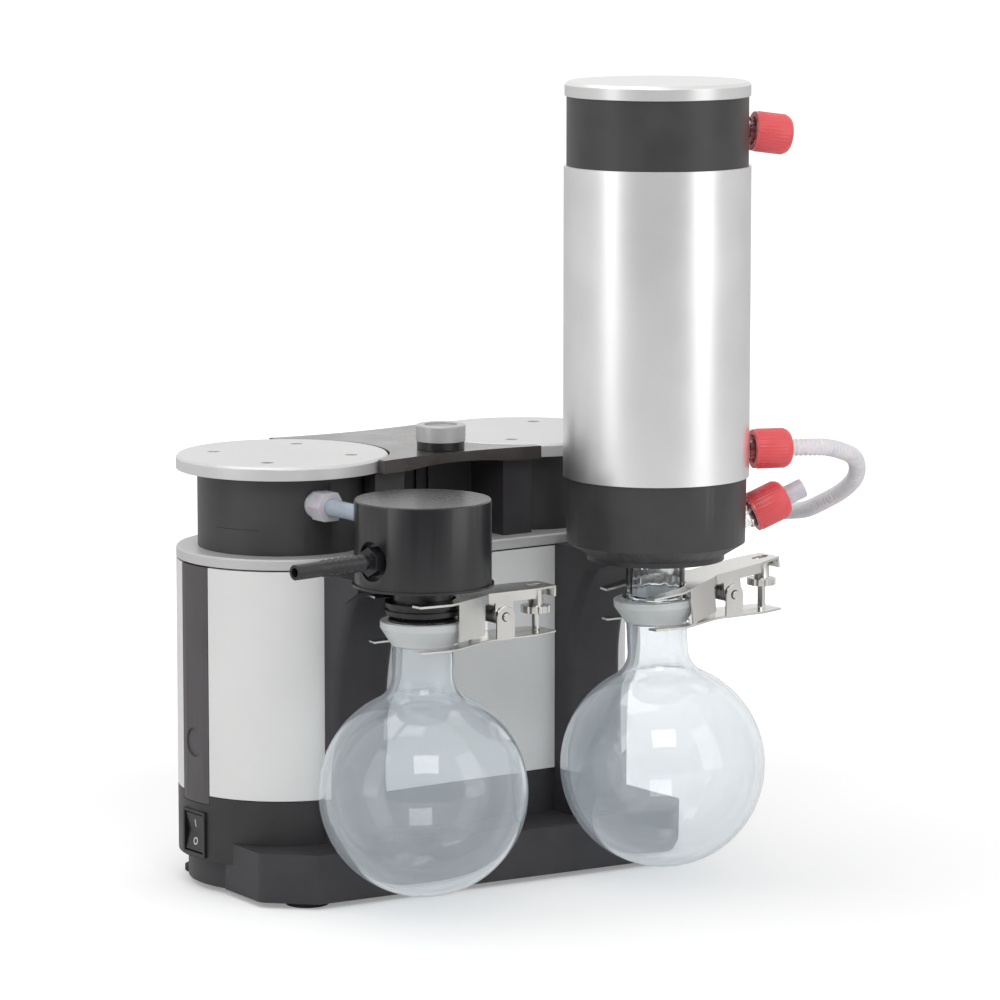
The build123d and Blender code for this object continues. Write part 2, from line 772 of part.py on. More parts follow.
# Valve plates: a shallow chamber over each diaphragm and two valve holes
valve_bottom = deck_top + diaphragm_thickness
with BuildPart() as valve_plates:
    for side, tower_x, inward in towers:
        with BuildSketch(tower_plane(tower_x, valve_bottom)):
            Circle(diaphragm_radius)
        extrude(amount=valve_plate_height)
        with BuildSketch(tower_plane(tower_x, valve_bottom)):
            Circle(diaphragm_roll_radius)
        extrude(amount=chamber_depth, mode=Mode.SUBTRACT)
        with BuildSketch(tower_plane(tower_x, valve_bottom)):
            with Locations((-valve_hole_offset, 0), (valve_hole_offset, 0)):
                Circle(valve_hole_radius)
        extrude(amount=valve_plate_height, mode=Mode.SUBTRACT)
valve_plates.part.label = "valve_plates"
export_step(valve_plates.part, "parts/valve_plates.step")

# Head bodies: black cylinders over the valve plates, each with one side port
port_seats = {"left": suction_seat, "right": outlet_seat}
for side, tower_x, inward in towers:
    with BuildPart() as head_body:
        with BuildSketch(tower_plane(tower_x, deck_top)):
            Circle(head_radius)
        extrude(amount=head_top - deck_top)
        with BuildSketch(tower_plane(tower_x, deck_top)):
            Circle(diaphragm_radius + seam)
        extrude(amount=pocket_top - deck_top, mode=Mode.SUBTRACT)
        with BuildSketch(port_seats[side]):
            Circle(suction_nut_radius - 1)
        extrude(amount=2 * head_radius, mode=Mode.SUBTRACT)
        with BuildSketch(port_seats[side]):
            Circle(suction_nut_radius)
        extrude(amount=port_floor)
        with BuildSketch(tower_plane(tower_x, head_top - cover_screw_depth - cover_screw_grip)):
            with PolarLocations(cover_screw_reach, 4, start_angle=45):
                Circle(cover_screw_radius)
        extrude(amount=cover_screw_depth + cover_screw_grip, mode=Mode.SUBTRACT)
    head_body.part.label = f"head_body_{side}"
    export_step(head_body.part, f"parts/head_body_{side}.step")

# Head covers: bevelled discs with four screw holes
for side, tower_x, inward in towers:
    with BuildPart() as head_cover:
        with BuildSketch(tower_plane(tower_x, head_top)):
            Circle(cover_radius)
        extrude(amount=cover_top - head_top)
        chamfer(head_cover.faces().sort_by(Axis.Z)[-1].edges(), cover_bevel)
        with BuildSketch(tower_plane(tower_x, head_top)):
            with PolarLocations(cover_screw_reach, 4, start_angle=45):
                Circle(cover_screw_radius)
        extrude(amount=cover_top, mode=Mode.SUBTRACT)
    head_cover.part.label = f"head_cover_{side}"
    export_step(head_cover.part, f"parts/head_cover_{side}.step")

# Head screws: socket screws sunk in the covers
screw_length = cover_thickness + cover_screw_grip
with BuildPart() as head_screws:
    for side, tower_x, inward in towers:
        with BuildSketch(tower_plane(tower_x, head_top - cover_screw_grip)):
            with PolarLocations(cover_screw_reach, 4, start_angle=45):
                Circle(cover_screw_radius - fit_gap)
        extrude(amount=screw_length - cover_screw_depth)
        with BuildSketch(tower_plane(tower_x, cover_top - 2 * cover_screw_depth)):
            with PolarLocations(cover_screw_reach, 4, start_angle=45):
                RegularPolygon(cover_screw_radius / 2, 6)
        extrude(amount=cover_screw_depth, mode=Mode.SUBTRACT)
head_screws.part.label = "head_screws"
export_step(head_screws.part, "parts/head_screws.step")

# Grip core: the wall between the heads, with a finger pocket at the front and at the back
with BuildPart() as grip_core:
    core_half_depth = bridge_waist - core_inset
    with BuildSketch(body_plane(deck_top)):
        Rectangle(2 * bridge_tip, 2 * core_half_depth)
        with GridLocations(tower_spacing, 0, 2, 1):
            Circle(head_radius + running_gap, mode=Mode.SUBTRACT)
        with Locations((0, -core_web_half)):
            Rectangle(core_pocket_width, body_radius, align=(Align.CENTER, Align.MAX), mode=Mode.SUBTRACT)
        with Locations((0, core_web_half)):
            Rectangle(core_pocket_width, body_radius, align=(Align.CENTER, Align.MIN), mode=Mode.SUBTRACT)
        with GridLocations(3 * core_rib_width, 2 * core_web_half, 2, 2):
            Rectangle(core_rib_width, 2 * core_rib_depth)
    extrude(amount=bridge_bottom - deck_top)
grip_core.part.label = "grip_core"
export_step(grip_core.part, "parts/grip_core.step")

# Carrying bridge: a waisted plate between the covers, arched underneath
arch_rise = bridge_top - bridge_bottom - bridge_middle_thickness
arch_radius = (core_pocket_half**2 + arch_rise**2) / (2 * arch_rise)
arch_origin = (body_x, body_y + body_radius, bridge_bottom + arch_rise - arch_radius)
with BuildPart() as carry_bridge:
    with BuildSketch(body_plane(bridge_bottom)):
        with BuildLine():
            front = ThreePointArc(
                (-bridge_tip, -bridge_half_depth), (0, -bridge_waist), (bridge_tip, -bridge_half_depth)
            )
            back = ThreePointArc(
                (bridge_tip, bridge_half_depth), (0, bridge_waist), (-bridge_tip, bridge_half_depth)
            )
            Line(front @ 1, back @ 0)
            Line(back @ 1, front @ 0)
        make_face()
        with GridLocations(tower_spacing, 0, 2, 1):
            Circle(cover_radius + bridge_gap, mode=Mode.SUBTRACT)
    extrude(amount=bridge_top - bridge_bottom)
    with BuildSketch(Plane(origin=arch_origin, x_dir=(1, 0, 0), z_dir=(0, -1, 0))):
        Circle(arch_radius)
    extrude(amount=2 * body_radius, mode=Mode.SUBTRACT)
    with BuildSketch(body_plane(bridge_bottom)):
        with Locations((0, knob_place_y)):
            Circle(knob_stem_radius + running_gap)
    extrude(amount=bridge_top, mode=Mode.SUBTRACT)
carry_bridge.part.label = "carry_bridge"
export_step(carry_bridge.part, "parts/carry_bridge.step")

# Knob seat: the black ring under the regulating knob
with BuildPart() as knob_seat:
    with BuildSketch(body_plane(bridge_top)):
        with Locations((0, knob_place_y)):
            Circle(knob_seat_radius)
            Circle(knob_stem_radius + running_gap, mode=Mode.SUBTRACT)
    extrude(amount=knob_seat_height)
knob_seat.part.label = "knob_seat"
export_step(knob_seat.part, "parts/knob_seat.step")

# Regulating knob: a cap with a dished top and a stem through the bridge
knob_bottom = bridge_top + knob_seat_height
with BuildPart() as control_knob:
    with BuildSketch(body_plane(knob_bottom)):
        with Locations((0, knob_place_y)):
            Circle(knob_radius)
    extrude(amount=knob_height)
    fillet(control_knob.faces().sort_by(Axis.Z)[-1].edges(), 1.0)
    with BuildSketch(body_plane(knob_bottom + knob_height - knob_recess_depth)):
        with Locations((0, knob_place_y)):
            Circle(knob_recess_radius)
    extrude(amount=knob_recess_depth, mode=Mode.SUBTRACT)
    with BuildSketch(body_plane(knob_bottom)):
        with Locations((0, knob_place_y)):
            Circle(knob_stem_radius)
    extrude(amount=-knob_stem_height)
control_knob.part.label = "control_knob"
export_step(control_knob.part, "parts/control_knob.step")

# Brackets: curved arms in front of the towers that carry the separator and the condenser
brackets = (
    (
        "separator_bracket",
        separator_bracket_x,
        apron_top + separator_waist_rise,
        separator_waist_reach,
        (separator_arm_reach, separator_bottom - separator_arm_drop),
        (separator_nose_reach, separator_bottom),
    ),
    (
        "condenser_bracket",
        condenser_bracket_x,
        apron_top + condenser_waist_rise,
        condenser_waist_reach,
        (condenser_arm_reach, condenser_base_bottom - condenser_arm_drop),
        (condenser_nose_reach, condenser_base_bottom),
    ),
)
for bracket_name, bracket_x, waist_height, waist_reach, arm_end, nose in brackets:
    with BuildPart() as bracket:
        with BuildSketch(Plane(origin=(body_x + bracket_x, body_y, 0), x_dir=(0, -1, 0), z_dir=(-1, 0, 0))):
            with BuildLine():
                waist = (waist_reach, waist_height)
                TangentArc(waist, (waist_reach + bracket_flare, apron_top), tangent=(0, -1))
                TangentArc(waist, arm_end, tangent=(0, 1))
                Polyline(
                    arm_end,
                    (nose[0], nose[1] - bracket_nose_drop),
                    nose,
                    (0, nose[1]),
                    (0, apron_top),
                    (waist_reach + bracket_flare, apron_top),
                )
            make_face()
        extrude(amount=bracket_width / 2, both=True)
        fillet(bracket.edges().filter_by(GeomType.CIRCLE), bracket_edge)
        with BuildSketch(body_plane(0)):
            SlotCenterToCenter(tower_spacing, 2 * body_radius)
        extrude(amount=cover_top, mode=Mode.SUBTRACT)
        for ball_seat in flask_seats.values():
            with Locations(ball_seat.origin - ball_seat.z_dir * bulb_drop):
                Sphere(flask_radius + flask_clearance, mode=Mode.SUBTRACT)
    bracket.part.label = bracket_name
    export_step(bracket.part, f"parts/{bracket_name}.step")

# Separator body: a turned pot with a pocket for the hose barb and a port at the back
chamber_radius = separator_radius - separator_wall
pocket_floor = separator_radius - barb_pocket_depth
with BuildPart() as separator_body:
    with BuildSketch(turned(separator_seat)):
        with BuildLine():
            Polyline(
                (joint_neck_bore, separator_bottom),
                (separator_radius + separator_lip, separator_bottom),
                (separator_radius + separator_lip, separator_bottom + separator_lip),
                (separator_radius, separator_bottom + separator_lip),
                (separator_radius, separator_top - separator_lip / 2),
                (separator_radius - separator_lip / 2, separator_top),
                (0, separator_top),
                (0, separator_top - separator_wall),
                (chamber_radius, separator_top - separator_wall),
                (chamber_radius, separator_bottom + separator_wall),
                (joint_neck_bore, separator_bottom + separator_wall),
                close=True,
            )
        make_face()
    revolve(axis=spindle(separator_seat))
    with BuildSketch(barb_seat.offset(pocket_floor)):
        Circle(barb_pocket_radius)
    extrude(amount=2 * barb_pocket_depth, mode=Mode.SUBTRACT)
    with BuildSketch(barb_seat.offset(chamber_radius - 5)):
        Circle(barb_root_radius + fit_gap)
    extrude(amount=separator_wall + 5, mode=Mode.SUBTRACT)
    with BuildSketch(suction_seat.offset(body_radius)):
        Circle(suction_tube_radius + fit_gap)
    extrude(amount=-separator_y - chamber_radius / 2 - body_radius, mode=Mode.SUBTRACT)
separator_body.part.label = "separator_body"
export_step(separator_body.part, "parts/separator_body.step")

# Ball joints: the lower zone of a sphere under a neck, bored through
ball_start = degrees(asin(ball_depth / ball_radius))
ball_end_radius = ball_radius * cos(radians(ball_start))
with BuildPart() as separator_joint:
    with BuildSketch(turned(separator_seat)):
        with BuildLine():
            CenterArc((0, joint_height), ball_radius, -ball_start, ball_start)
            Polyline(
                (ball_radius, joint_height),
                (joint_neck_radius, joint_height + joint_neck_start),
                (joint_neck_radius, joint_collar_bottom),
                (joint_collar_radius, joint_collar_bottom),
                (joint_collar_radius, joint_groove_bottom),
                (joint_collar_radius - joint_groove_depth, joint_groove_bottom),
                (joint_collar_radius - joint_groove_depth, joint_groove_bottom + joint_groove_depth),
                (joint_collar_radius, joint_groove_bottom + joint_groove_depth),
                (joint_collar_radius, joint_collar_top),
                (joint_neck_radius, joint_collar_top),
                (joint_neck_radius, separator_bottom),
                (joint_neck_bore - fit_gap, separator_bottom),
                (joint_neck_bore - fit_gap, separator_bottom + separator_wall),
                (ball_bore, separator_bottom + separator_wall),
                (ball_bore, joint_height - ball_depth),
                (ball_end_radius, joint_height - ball_depth),
            )
        make_face()
    revolve(axis=spindle(separator_seat))
separator_joint.part.label = "separator_joint"
export_step(separator_joint.part, "parts/separator_joint.step")

# Inlet hose barb: a hexagon in the pocket, sharp rings and a plain end
barb_rings_start = pocket_floor + barb_hex_length + barb_ring_pitch
with BuildPart() as inlet_barb:
    with BuildSketch(turned(barb_seat)):
        with BuildLine():
            barb_outline = [(barb_bore, chamber_radius), (barb_root_radius, chamber_radius)]
            for ring in range(barb_ring_count):
                ring_start = barb_rings_start + ring * barb_ring_pitch
                barb_outline.append((barb_root_radius, ring_start))
                barb_outline.append((barb_ring_radius, ring_start))
                barb_outline.append((barb_root_radius, ring_start + barb_ring_pitch * 0.8))
            barb_rings_end = barb_rings_start + barb_ring_count * barb_ring_pitch
            barb_outline.append((barb_root_radius, barb_rings_end))
            barb_outline.append((barb_radius, barb_rings_end))
            barb_outline.append((barb_radius, barb_tip_distance))
            Polyline(*barb_outline, (barb_bore, barb_tip_distance), close=True)
        make_face()
    revolve(axis=spindle(barb_seat))
    with BuildSketch(barb_seat.offset(pocket_floor)):
        RegularPolygon(barb_hex, 6)
        Circle(barb_bore, mode=Mode.SUBTRACT)
    extrude(amount=barb_hex_length)
inlet_barb.part.label = "inlet_barb"
export_step(inlet_barb.part, "parts/inlet_barb.step")

# Head fittings: a spigot in the head's port and a hexagonal nut outside it
nut_start = head_radius + 0.5
outlet_nut_end = nut_start + outlet_nut_length
with BuildPart() as suction_fitting:
    with BuildSketch(suction_seat.offset(port_floor)):
        Circle(suction_nut_radius - 1 - fit_gap)
        Circle(suction_tube_radius + fit_gap, mode=Mode.SUBTRACT)
    extrude(amount=nut_start - port_floor)
    with BuildSketch(suction_seat.offset(nut_start)):
        RegularPolygon(suction_nut_radius, 6)
        Circle(suction_tube_radius + fit_gap, mode=Mode.SUBTRACT)
    extrude(amount=suction_nut_length)
suction_fitting.part.label = "suction_fitting"
export_step(suction_fitting.part, "parts/suction_fitting.step")

with BuildPart() as outlet_fitting:
    with BuildSketch(outlet_seat.offset(port_floor)):
        Circle(suction_nut_radius - 1 - fit_gap)
    extrude(amount=nut_start - port_floor)
    with BuildSketch(outlet_seat.offset(nut_start)):
        RegularPolygon(suction_nut_radius, 6)
    extrude(amount=outlet_nut_length)
    with BuildSketch(outlet_seat.offset(outlet_nut_end)):
        Circle(middle_nozzle_radius)
    extrude(amount=outlet_stem_length)
    with BuildSketch(outlet_seat.offset(port_floor)):
        Circle(nozzle_bore)
    extrude(amount=2 * head_radius, mode=Mode.SUBTRACT)
outlet_fitting.part.label = "outlet_fitting"
export_step(outlet_fitting.part, "parts/outlet_fitting.step")

# Suction tube: a clear pipe from the left head's fitting into the back of the separator
with BuildPart() as suction_tube:
    with BuildSketch(suction_seat.offset(port_floor + 1)):
        Circle(suction_tube_radius)
        Circle(suction_tube_bore, mode=Mode.SUBTRACT)
    extrude(amount=suction_tube_end - port_floor - 1)
suction_tube.part.label = "suction_tube"
export_step(suction_tube.part, "parts/suction_tube.step")

# Condenser base: a black cup with a tapered foot, open at the neck
with BuildPart() as condenser_base:
    with BuildSketch(turned(condenser_seat)):
        with BuildLine():
            Polyline(
                (joint_neck_radius + running_gap, condenser_base_bottom),
                (condenser_base_foot_radius, condenser_base_bottom),
                (condenser_base_foot_radius, condenser_base_bottom + condenser_base_step),
                (condenser_base_radius - 0.5, condenser_base_shoulder),
                (condenser_base_radius, jacket_bottom),
                (jacket_bore - fit_gap, jacket_bottom),
                (jacket_bore - fit_gap, jacket_bottom + spigot_height),
                (condenser_base_bore, jacket_bottom + spigot_height),
                (condenser_base_bore, condenser_base_shoulder + condenser_base_wall),
                (condenser_base_foot_radius - 1, condenser_base_bottom + condenser_floor),
                (joint_neck_radius + running_gap, condenser_base_bottom + condenser_floor),
                close=True,
            )
        make_face()
    revolve(axis=spindle(condenser_seat))
    with BuildSketch(lower_port.offset(lower_surface - 15)):
        Circle(port_hole_radius)
    extrude(amount=30, mode=Mode.SUBTRACT)
condenser_base.part.label = "condenser_base"
export_step(condenser_base.part, "parts/condenser_base.step")

# Condenser jacket: the satin tube round the glass
with BuildPart() as condenser_jacket:
    with BuildSketch(condenser_seat.offset(jacket_bottom)):
        Circle(jacket_radius)
        Circle(jacket_bore, mode=Mode.SUBTRACT)
    extrude(amount=jacket_top - jacket_bottom)
    with BuildSketch(middle_port.offset(jacket_radius - 10)):
        Circle(port_hole_radius)
    extrude(amount=20, mode=Mode.SUBTRACT)
condenser_jacket.part.label = "condenser_jacket"
export_step(condenser_jacket.part, "parts/condenser_jacket.step")

# Condenser collar: the black ring on the jacket, with a spigot inside it
collar_bore = collar_radius - collar_wall
with BuildPart() as condenser_collar:
    with BuildSketch(turned(condenser_seat)):
        with BuildLine():
            Polyline(
                (collar_bore, jacket_top - spigot_height),
                (jacket_bore - fit_gap, jacket_top - spigot_height),
                (jacket_bore - fit_gap, jacket_top),
                (collar_radius, jacket_top),
                (collar_radius, collar_top),
                (collar_bore, collar_top),
                close=True,
            )
        make_face()
    revolve(axis=spindle(condenser_seat))
    with BuildSketch(upper_port.offset(upper_surface - 15)):
        Circle(port_hole_radius)
    extrude(amount=30, mode=Mode.SUBTRACT)
condenser_collar.part.label = "condenser_collar"
export_step(condenser_collar.part, "parts/condenser_collar.step")

# Condenser lid: a turned disc with a plug in the collar
with BuildPart() as condenser_lid:
    with BuildSketch(turned(condenser_seat)):
        with BuildLine():
            Polyline(
                (0, collar_top - lid_plug),
                (collar_bore - fit_gap, collar_top - lid_plug),
                (collar_bore - fit_gap, collar_top),
                (lid_radius, collar_top),
                (lid_radius, lid_top - lid_edge),
                (lid_radius - lid_edge, lid_top),
                (0, lid_top),
                close=True,
            )
        make_face()
    revolve(axis=spindle(condenser_seat))
condenser_lid.part.label = "condenser_lid"
export_step(condenser_lid.part, "parts/condenser_lid.step")

# Condenser vessel: the glass inside the jacket, its three side ports and its ball
ports = (
    (upper_port, upper_surface, port_stub_start, port_bore_start),
    (middle_port, jacket_radius, port_stub_start, port_bore_start),
    (lower_port, lower_surface, lower_stub_start, lower_bore_start),
)
vessel_bore = vessel_radius - vessel_wall
with BuildPart() as condenser_vessel:
    with BuildSketch(turned(condenser_seat)):
        with BuildLine():
            CenterArc((0, joint_height), ball_radius, -ball_start, ball_start)
            Polyline(
                (ball_radius, joint_height),
                (joint_neck_radius, joint_height + joint_neck_start),
                (joint_neck_radius, condenser_base_bottom + condenser_floor + 0.5),
                (vessel_radius, funnel_top),
                (vessel_radius, vessel_top),
                (0, vessel_top),
                (0, vessel_top - vessel_wall),
                (vessel_bore, vessel_top - vessel_wall),
                (vessel_bore, funnel_top + vessel_wall / 2),
                (joint_neck_radius - vessel_wall, condenser_base_bottom + condenser_floor + 2),
                (joint_neck_radius - vessel_wall, joint_height),
                (ball_bore, joint_height - ball_depth / 2),
                (ball_bore, joint_height - ball_depth),
                (ball_end_radius, joint_height - ball_depth),
            )
        make_face()
    revolve(axis=spindle(condenser_seat))
    for port, surface, stub_start, bore_start in ports:
        thread_end = surface + cap_standoff + port_thread_length
        with BuildSketch(port.offset(stub_start)):
            Circle(port_radius)
        extrude(amount=thread_end - stub_start)
        with BuildSketch(port.offset(surface + 1)):
            Circle(port_thread_radius)
        extrude(amount=thread_end - surface - 1)
    for port, surface, stub_start, bore_start in ports:
        with BuildSketch(port.offset(bore_start)):
            Circle(port_radius - vessel_wall)
        extrude(amount=2 * vessel_radius, mode=Mode.SUBTRACT)
condenser_vessel.part.label = "condenser_vessel"
export_step(condenser_vessel.part, "parts/condenser_vessel.step")

# Cooling coil inside the vessel
with BuildPart() as cooling_coil:
    with BuildLine():
        coil_foot = condenser_seat.offset(coil_bottom).origin
        coil_line = Helix(coil_pitch, coil_height, coil_radius, center=coil_foot)
    with BuildSketch(Plane(origin=coil_line @ 0, z_dir=coil_line % 0)):
        Circle(coil_tube_radius)
    sweep(path=coil_line, is_frenet=True)
cooling_coil.part.label = "cooling_coil"
export_step(cooling_coil.part, "parts/cooling_coil.step")

# Screw caps on the side ports; two of them let a nozzle through
cap_bore = port_thread_radius + running_gap
lower_collar_radius = lower_nozzle_radius + lower_nozzle_collar
cap_holes = {
    "upper": 0,
    "middle": middle_nozzle_radius + running_gap,
    "lower": lower_collar_radius + running_gap,
}
for cap_name, (port, surface, stub_start, bore_start) in zip(cap_holes, ports):
    start = surface + cap_standoff
    with BuildPart() as screw_cap:
        with BuildSketch(port.offset(start)):
            Circle(cap_radius)
        extrude(amount=cap_length)
        fillet(screw_cap.faces().sort_by(Axis(port.origin, port.z_dir))[-1].edges(), cap_edge)
        with BuildSketch(port.offset(start)):
            Circle(cap_bore)
        extrude(amount=cap_length - cap_end_wall, mode=Mode.SUBTRACT)
        if cap_holes[cap_name]:
            with BuildSketch(port.offset(start)):
                Circle(cap_holes[cap_name])
            extrude(amount=2 * cap_length, mode=Mode.SUBTRACT)
    screw_cap.part.label = f"red_cap_{cap_name}"
    export_step(screw_cap.part, f"parts/red_cap_{cap_name}.step")

# Hose nozzles: flanged olives held on the middle and the lower port by their caps
nozzles = (
    (middle_port, jacket_radius, middle_nozzle_radius, middle_nozzle_length),
    (lower_port, lower_surface, lower_nozzle_radius, lower_nozzle_length),
)
with BuildPart() as hose_nozzles:
    for port, surface, nozzle_radius, nozzle_length in nozzles:
        nozzle_start = surface + cap_standoff + port_thread_length
        with BuildSketch(port.offset(nozzle_start)):
            Circle(nozzle_flange_radius)
        extrude(amount=nozzle_flange)
        with BuildSketch(port.offset(nozzle_start)):
            Circle(nozzle_radius)
        extrude(amount=cap_length - port_thread_length + nozzle_length)
    collar_start = lower_surface + cap_standoff + port_thread_length
    with BuildSketch(lower_port.offset(collar_start)):
        Circle(lower_collar_radius)
    extrude(amount=cap_length - port_thread_length + running_gap)
    for port, surface, nozzle_radius, nozzle_length in nozzles:
        with BuildSketch(port.offset(surface + cap_standoff)):
            Circle(nozzle_bore)
        extrude(amount=3 * cap_length, mode=Mode.SUBTRACT)
hose_nozzles.part.label = "hose_nozzles"
export_step(hose_nozzles.part, "parts/hose_nozzles.step")

# Vent hose: a limp ribbed hose from the middle port round to the right head
hose_start = middle_port.origin + middle_port.z_dir * (cap_end + middle_nozzle_length)
hose_end = outlet_seat.origin + outlet_seat.z_dir * (outlet_nut_end + outlet_stem_length)
hose_route = [hose_start, *hose_points, hose_end]
hose_runs = [after - before for before, after in zip(hose_route, hose_route[1:])]
hose_turns = [before.get_angle(after) for before, after in zip(hose_runs, hose_runs[1:])]
hose_bends = [
    0.45 * min(before.length, after.length) / tan(radians(turn / 2))
    for before, after, turn in zip(hose_runs, hose_runs[1:], hose_turns)
]
with BuildPart() as vent_hose:
    with BuildLine() as hose_line:
        FilletPolyline(*hose_route, radius=hose_bends)
    with BuildSketch(Plane(origin=hose_start, z_dir=hose_runs[0])):
        Circle(hose_radius)
    sweep()
vent_hose.part.label = "vent_hose"
export_step(vent_hose.part, "parts/vent_hose.step")
print("hose bend radii", [round(bend, 1) for bend in hose_bends])
print("hose volume", round(vent_hose.part.volume))
print("hose section times length", round(pi * hose_radius**2 * hose_line.wires()[0].length))

# Flasks: round glass bulbs with a cup that fits round the ball of the joint
for side, ball_seat in flask_seats.items():
    with BuildPart() as flask:
        with BuildSketch(turned(ball_seat)) as flask_outside:
            with Locations((0, -bulb_drop)):
                Circle(flask_radius)
            with BuildLine():
                Polyline(
                    (0, -bulb_drop),
                    (flask_neck_radius, -bulb_drop),
                    (flask_neck_radius, -cup_foot),
                    (cup_radius, -cup_rim_height - cup_rim),
                    (cup_radius, -cup_rim),
                    (0, -cup_rim),
                    close=True,
                )
            make_face()
            shoulder_point = (flask_neck_radius, -bulb_drop + sqrt(flask_radius**2 - flask_neck_radius**2))
            fillet(flask_outside.vertices().sort_by_distance(shoulder_point)[0], flask_shoulder)
            with Locations((0, -bulb_drop)):
                Rectangle(flask_radius, 3 * flask_radius, align=(Align.MAX, Align.CENTER), mode=Mode.SUBTRACT)
        revolve(axis=spindle(ball_seat))
        with BuildSketch(turned(ball_seat)) as flask_inside:
            with Locations((0, -bulb_drop)):
                Circle(flask_radius - flask_wall)
            Circle(ball_radius + running_gap)
            inner_radius = flask_neck_radius - flask_wall
            with Locations((0, -bulb_drop)):
                Rectangle(inner_radius, bulb_drop - ball_depth + 4, align=(Align.MIN, Align.MIN))
            shoulder_rise = sqrt((flask_radius - flask_wall) ** 2 - inner_radius**2)
            shoulder_point = (inner_radius, shoulder_rise - bulb_drop)
            fillet(flask_inside.vertices().sort_by_distance(shoulder_point)[0], flask_shoulder + flask_wall)
            with Locations((0, -bulb_drop)):
                Rectangle(flask_radius, 5 * flask_radius, align=(Align.MAX, Align.CENTER), mode=Mode.SUBTRACT)
        revolve(axis=spindle(ball_seat), mode=Mode.SUBTRACT)
    flask.part.label = f"flask_{side}"
    export_step(flask.part, f"parts/flask_{side}.step")


# Fork clamps: an upper fork fixed on the neck and a lower fork that swings on a pin
def fork_plan(half_width, slot):
    with BuildSketch() as plan:
        with BuildLine():
            Polyline(
                (clamp_tip - clamp_pivot, 0),
                (clamp_tip - clamp_pivot + 3, clamp_prong_half - 2),
                (-clamp_pivot, clamp_prong_half),
                (clamp_web_start - clamp_pivot, clamp_web_start_half),
                (clamp_web_end - clamp_pivot, clamp_web_end_half),
                (clamp_web_end - clamp_pivot + 4, half_width),
                (clamp_flange_end - clamp_pivot, half_width),
                (clamp_tail - clamp_pivot, clamp_tail_half),
                (clamp_tail - clamp_pivot, 0),
                close=True,
            )
        make_face()
        mirror(about=Plane.XZ)
        with Locations((-clamp_pivot, 0)):
            Circle(slot, mode=Mode.SUBTRACT)
            Rectangle(clamp_pivot, 2 * slot, align=(Align.MAX, Align.CENTER), mode=Mode.SUBTRACT)
    return plan.sketch


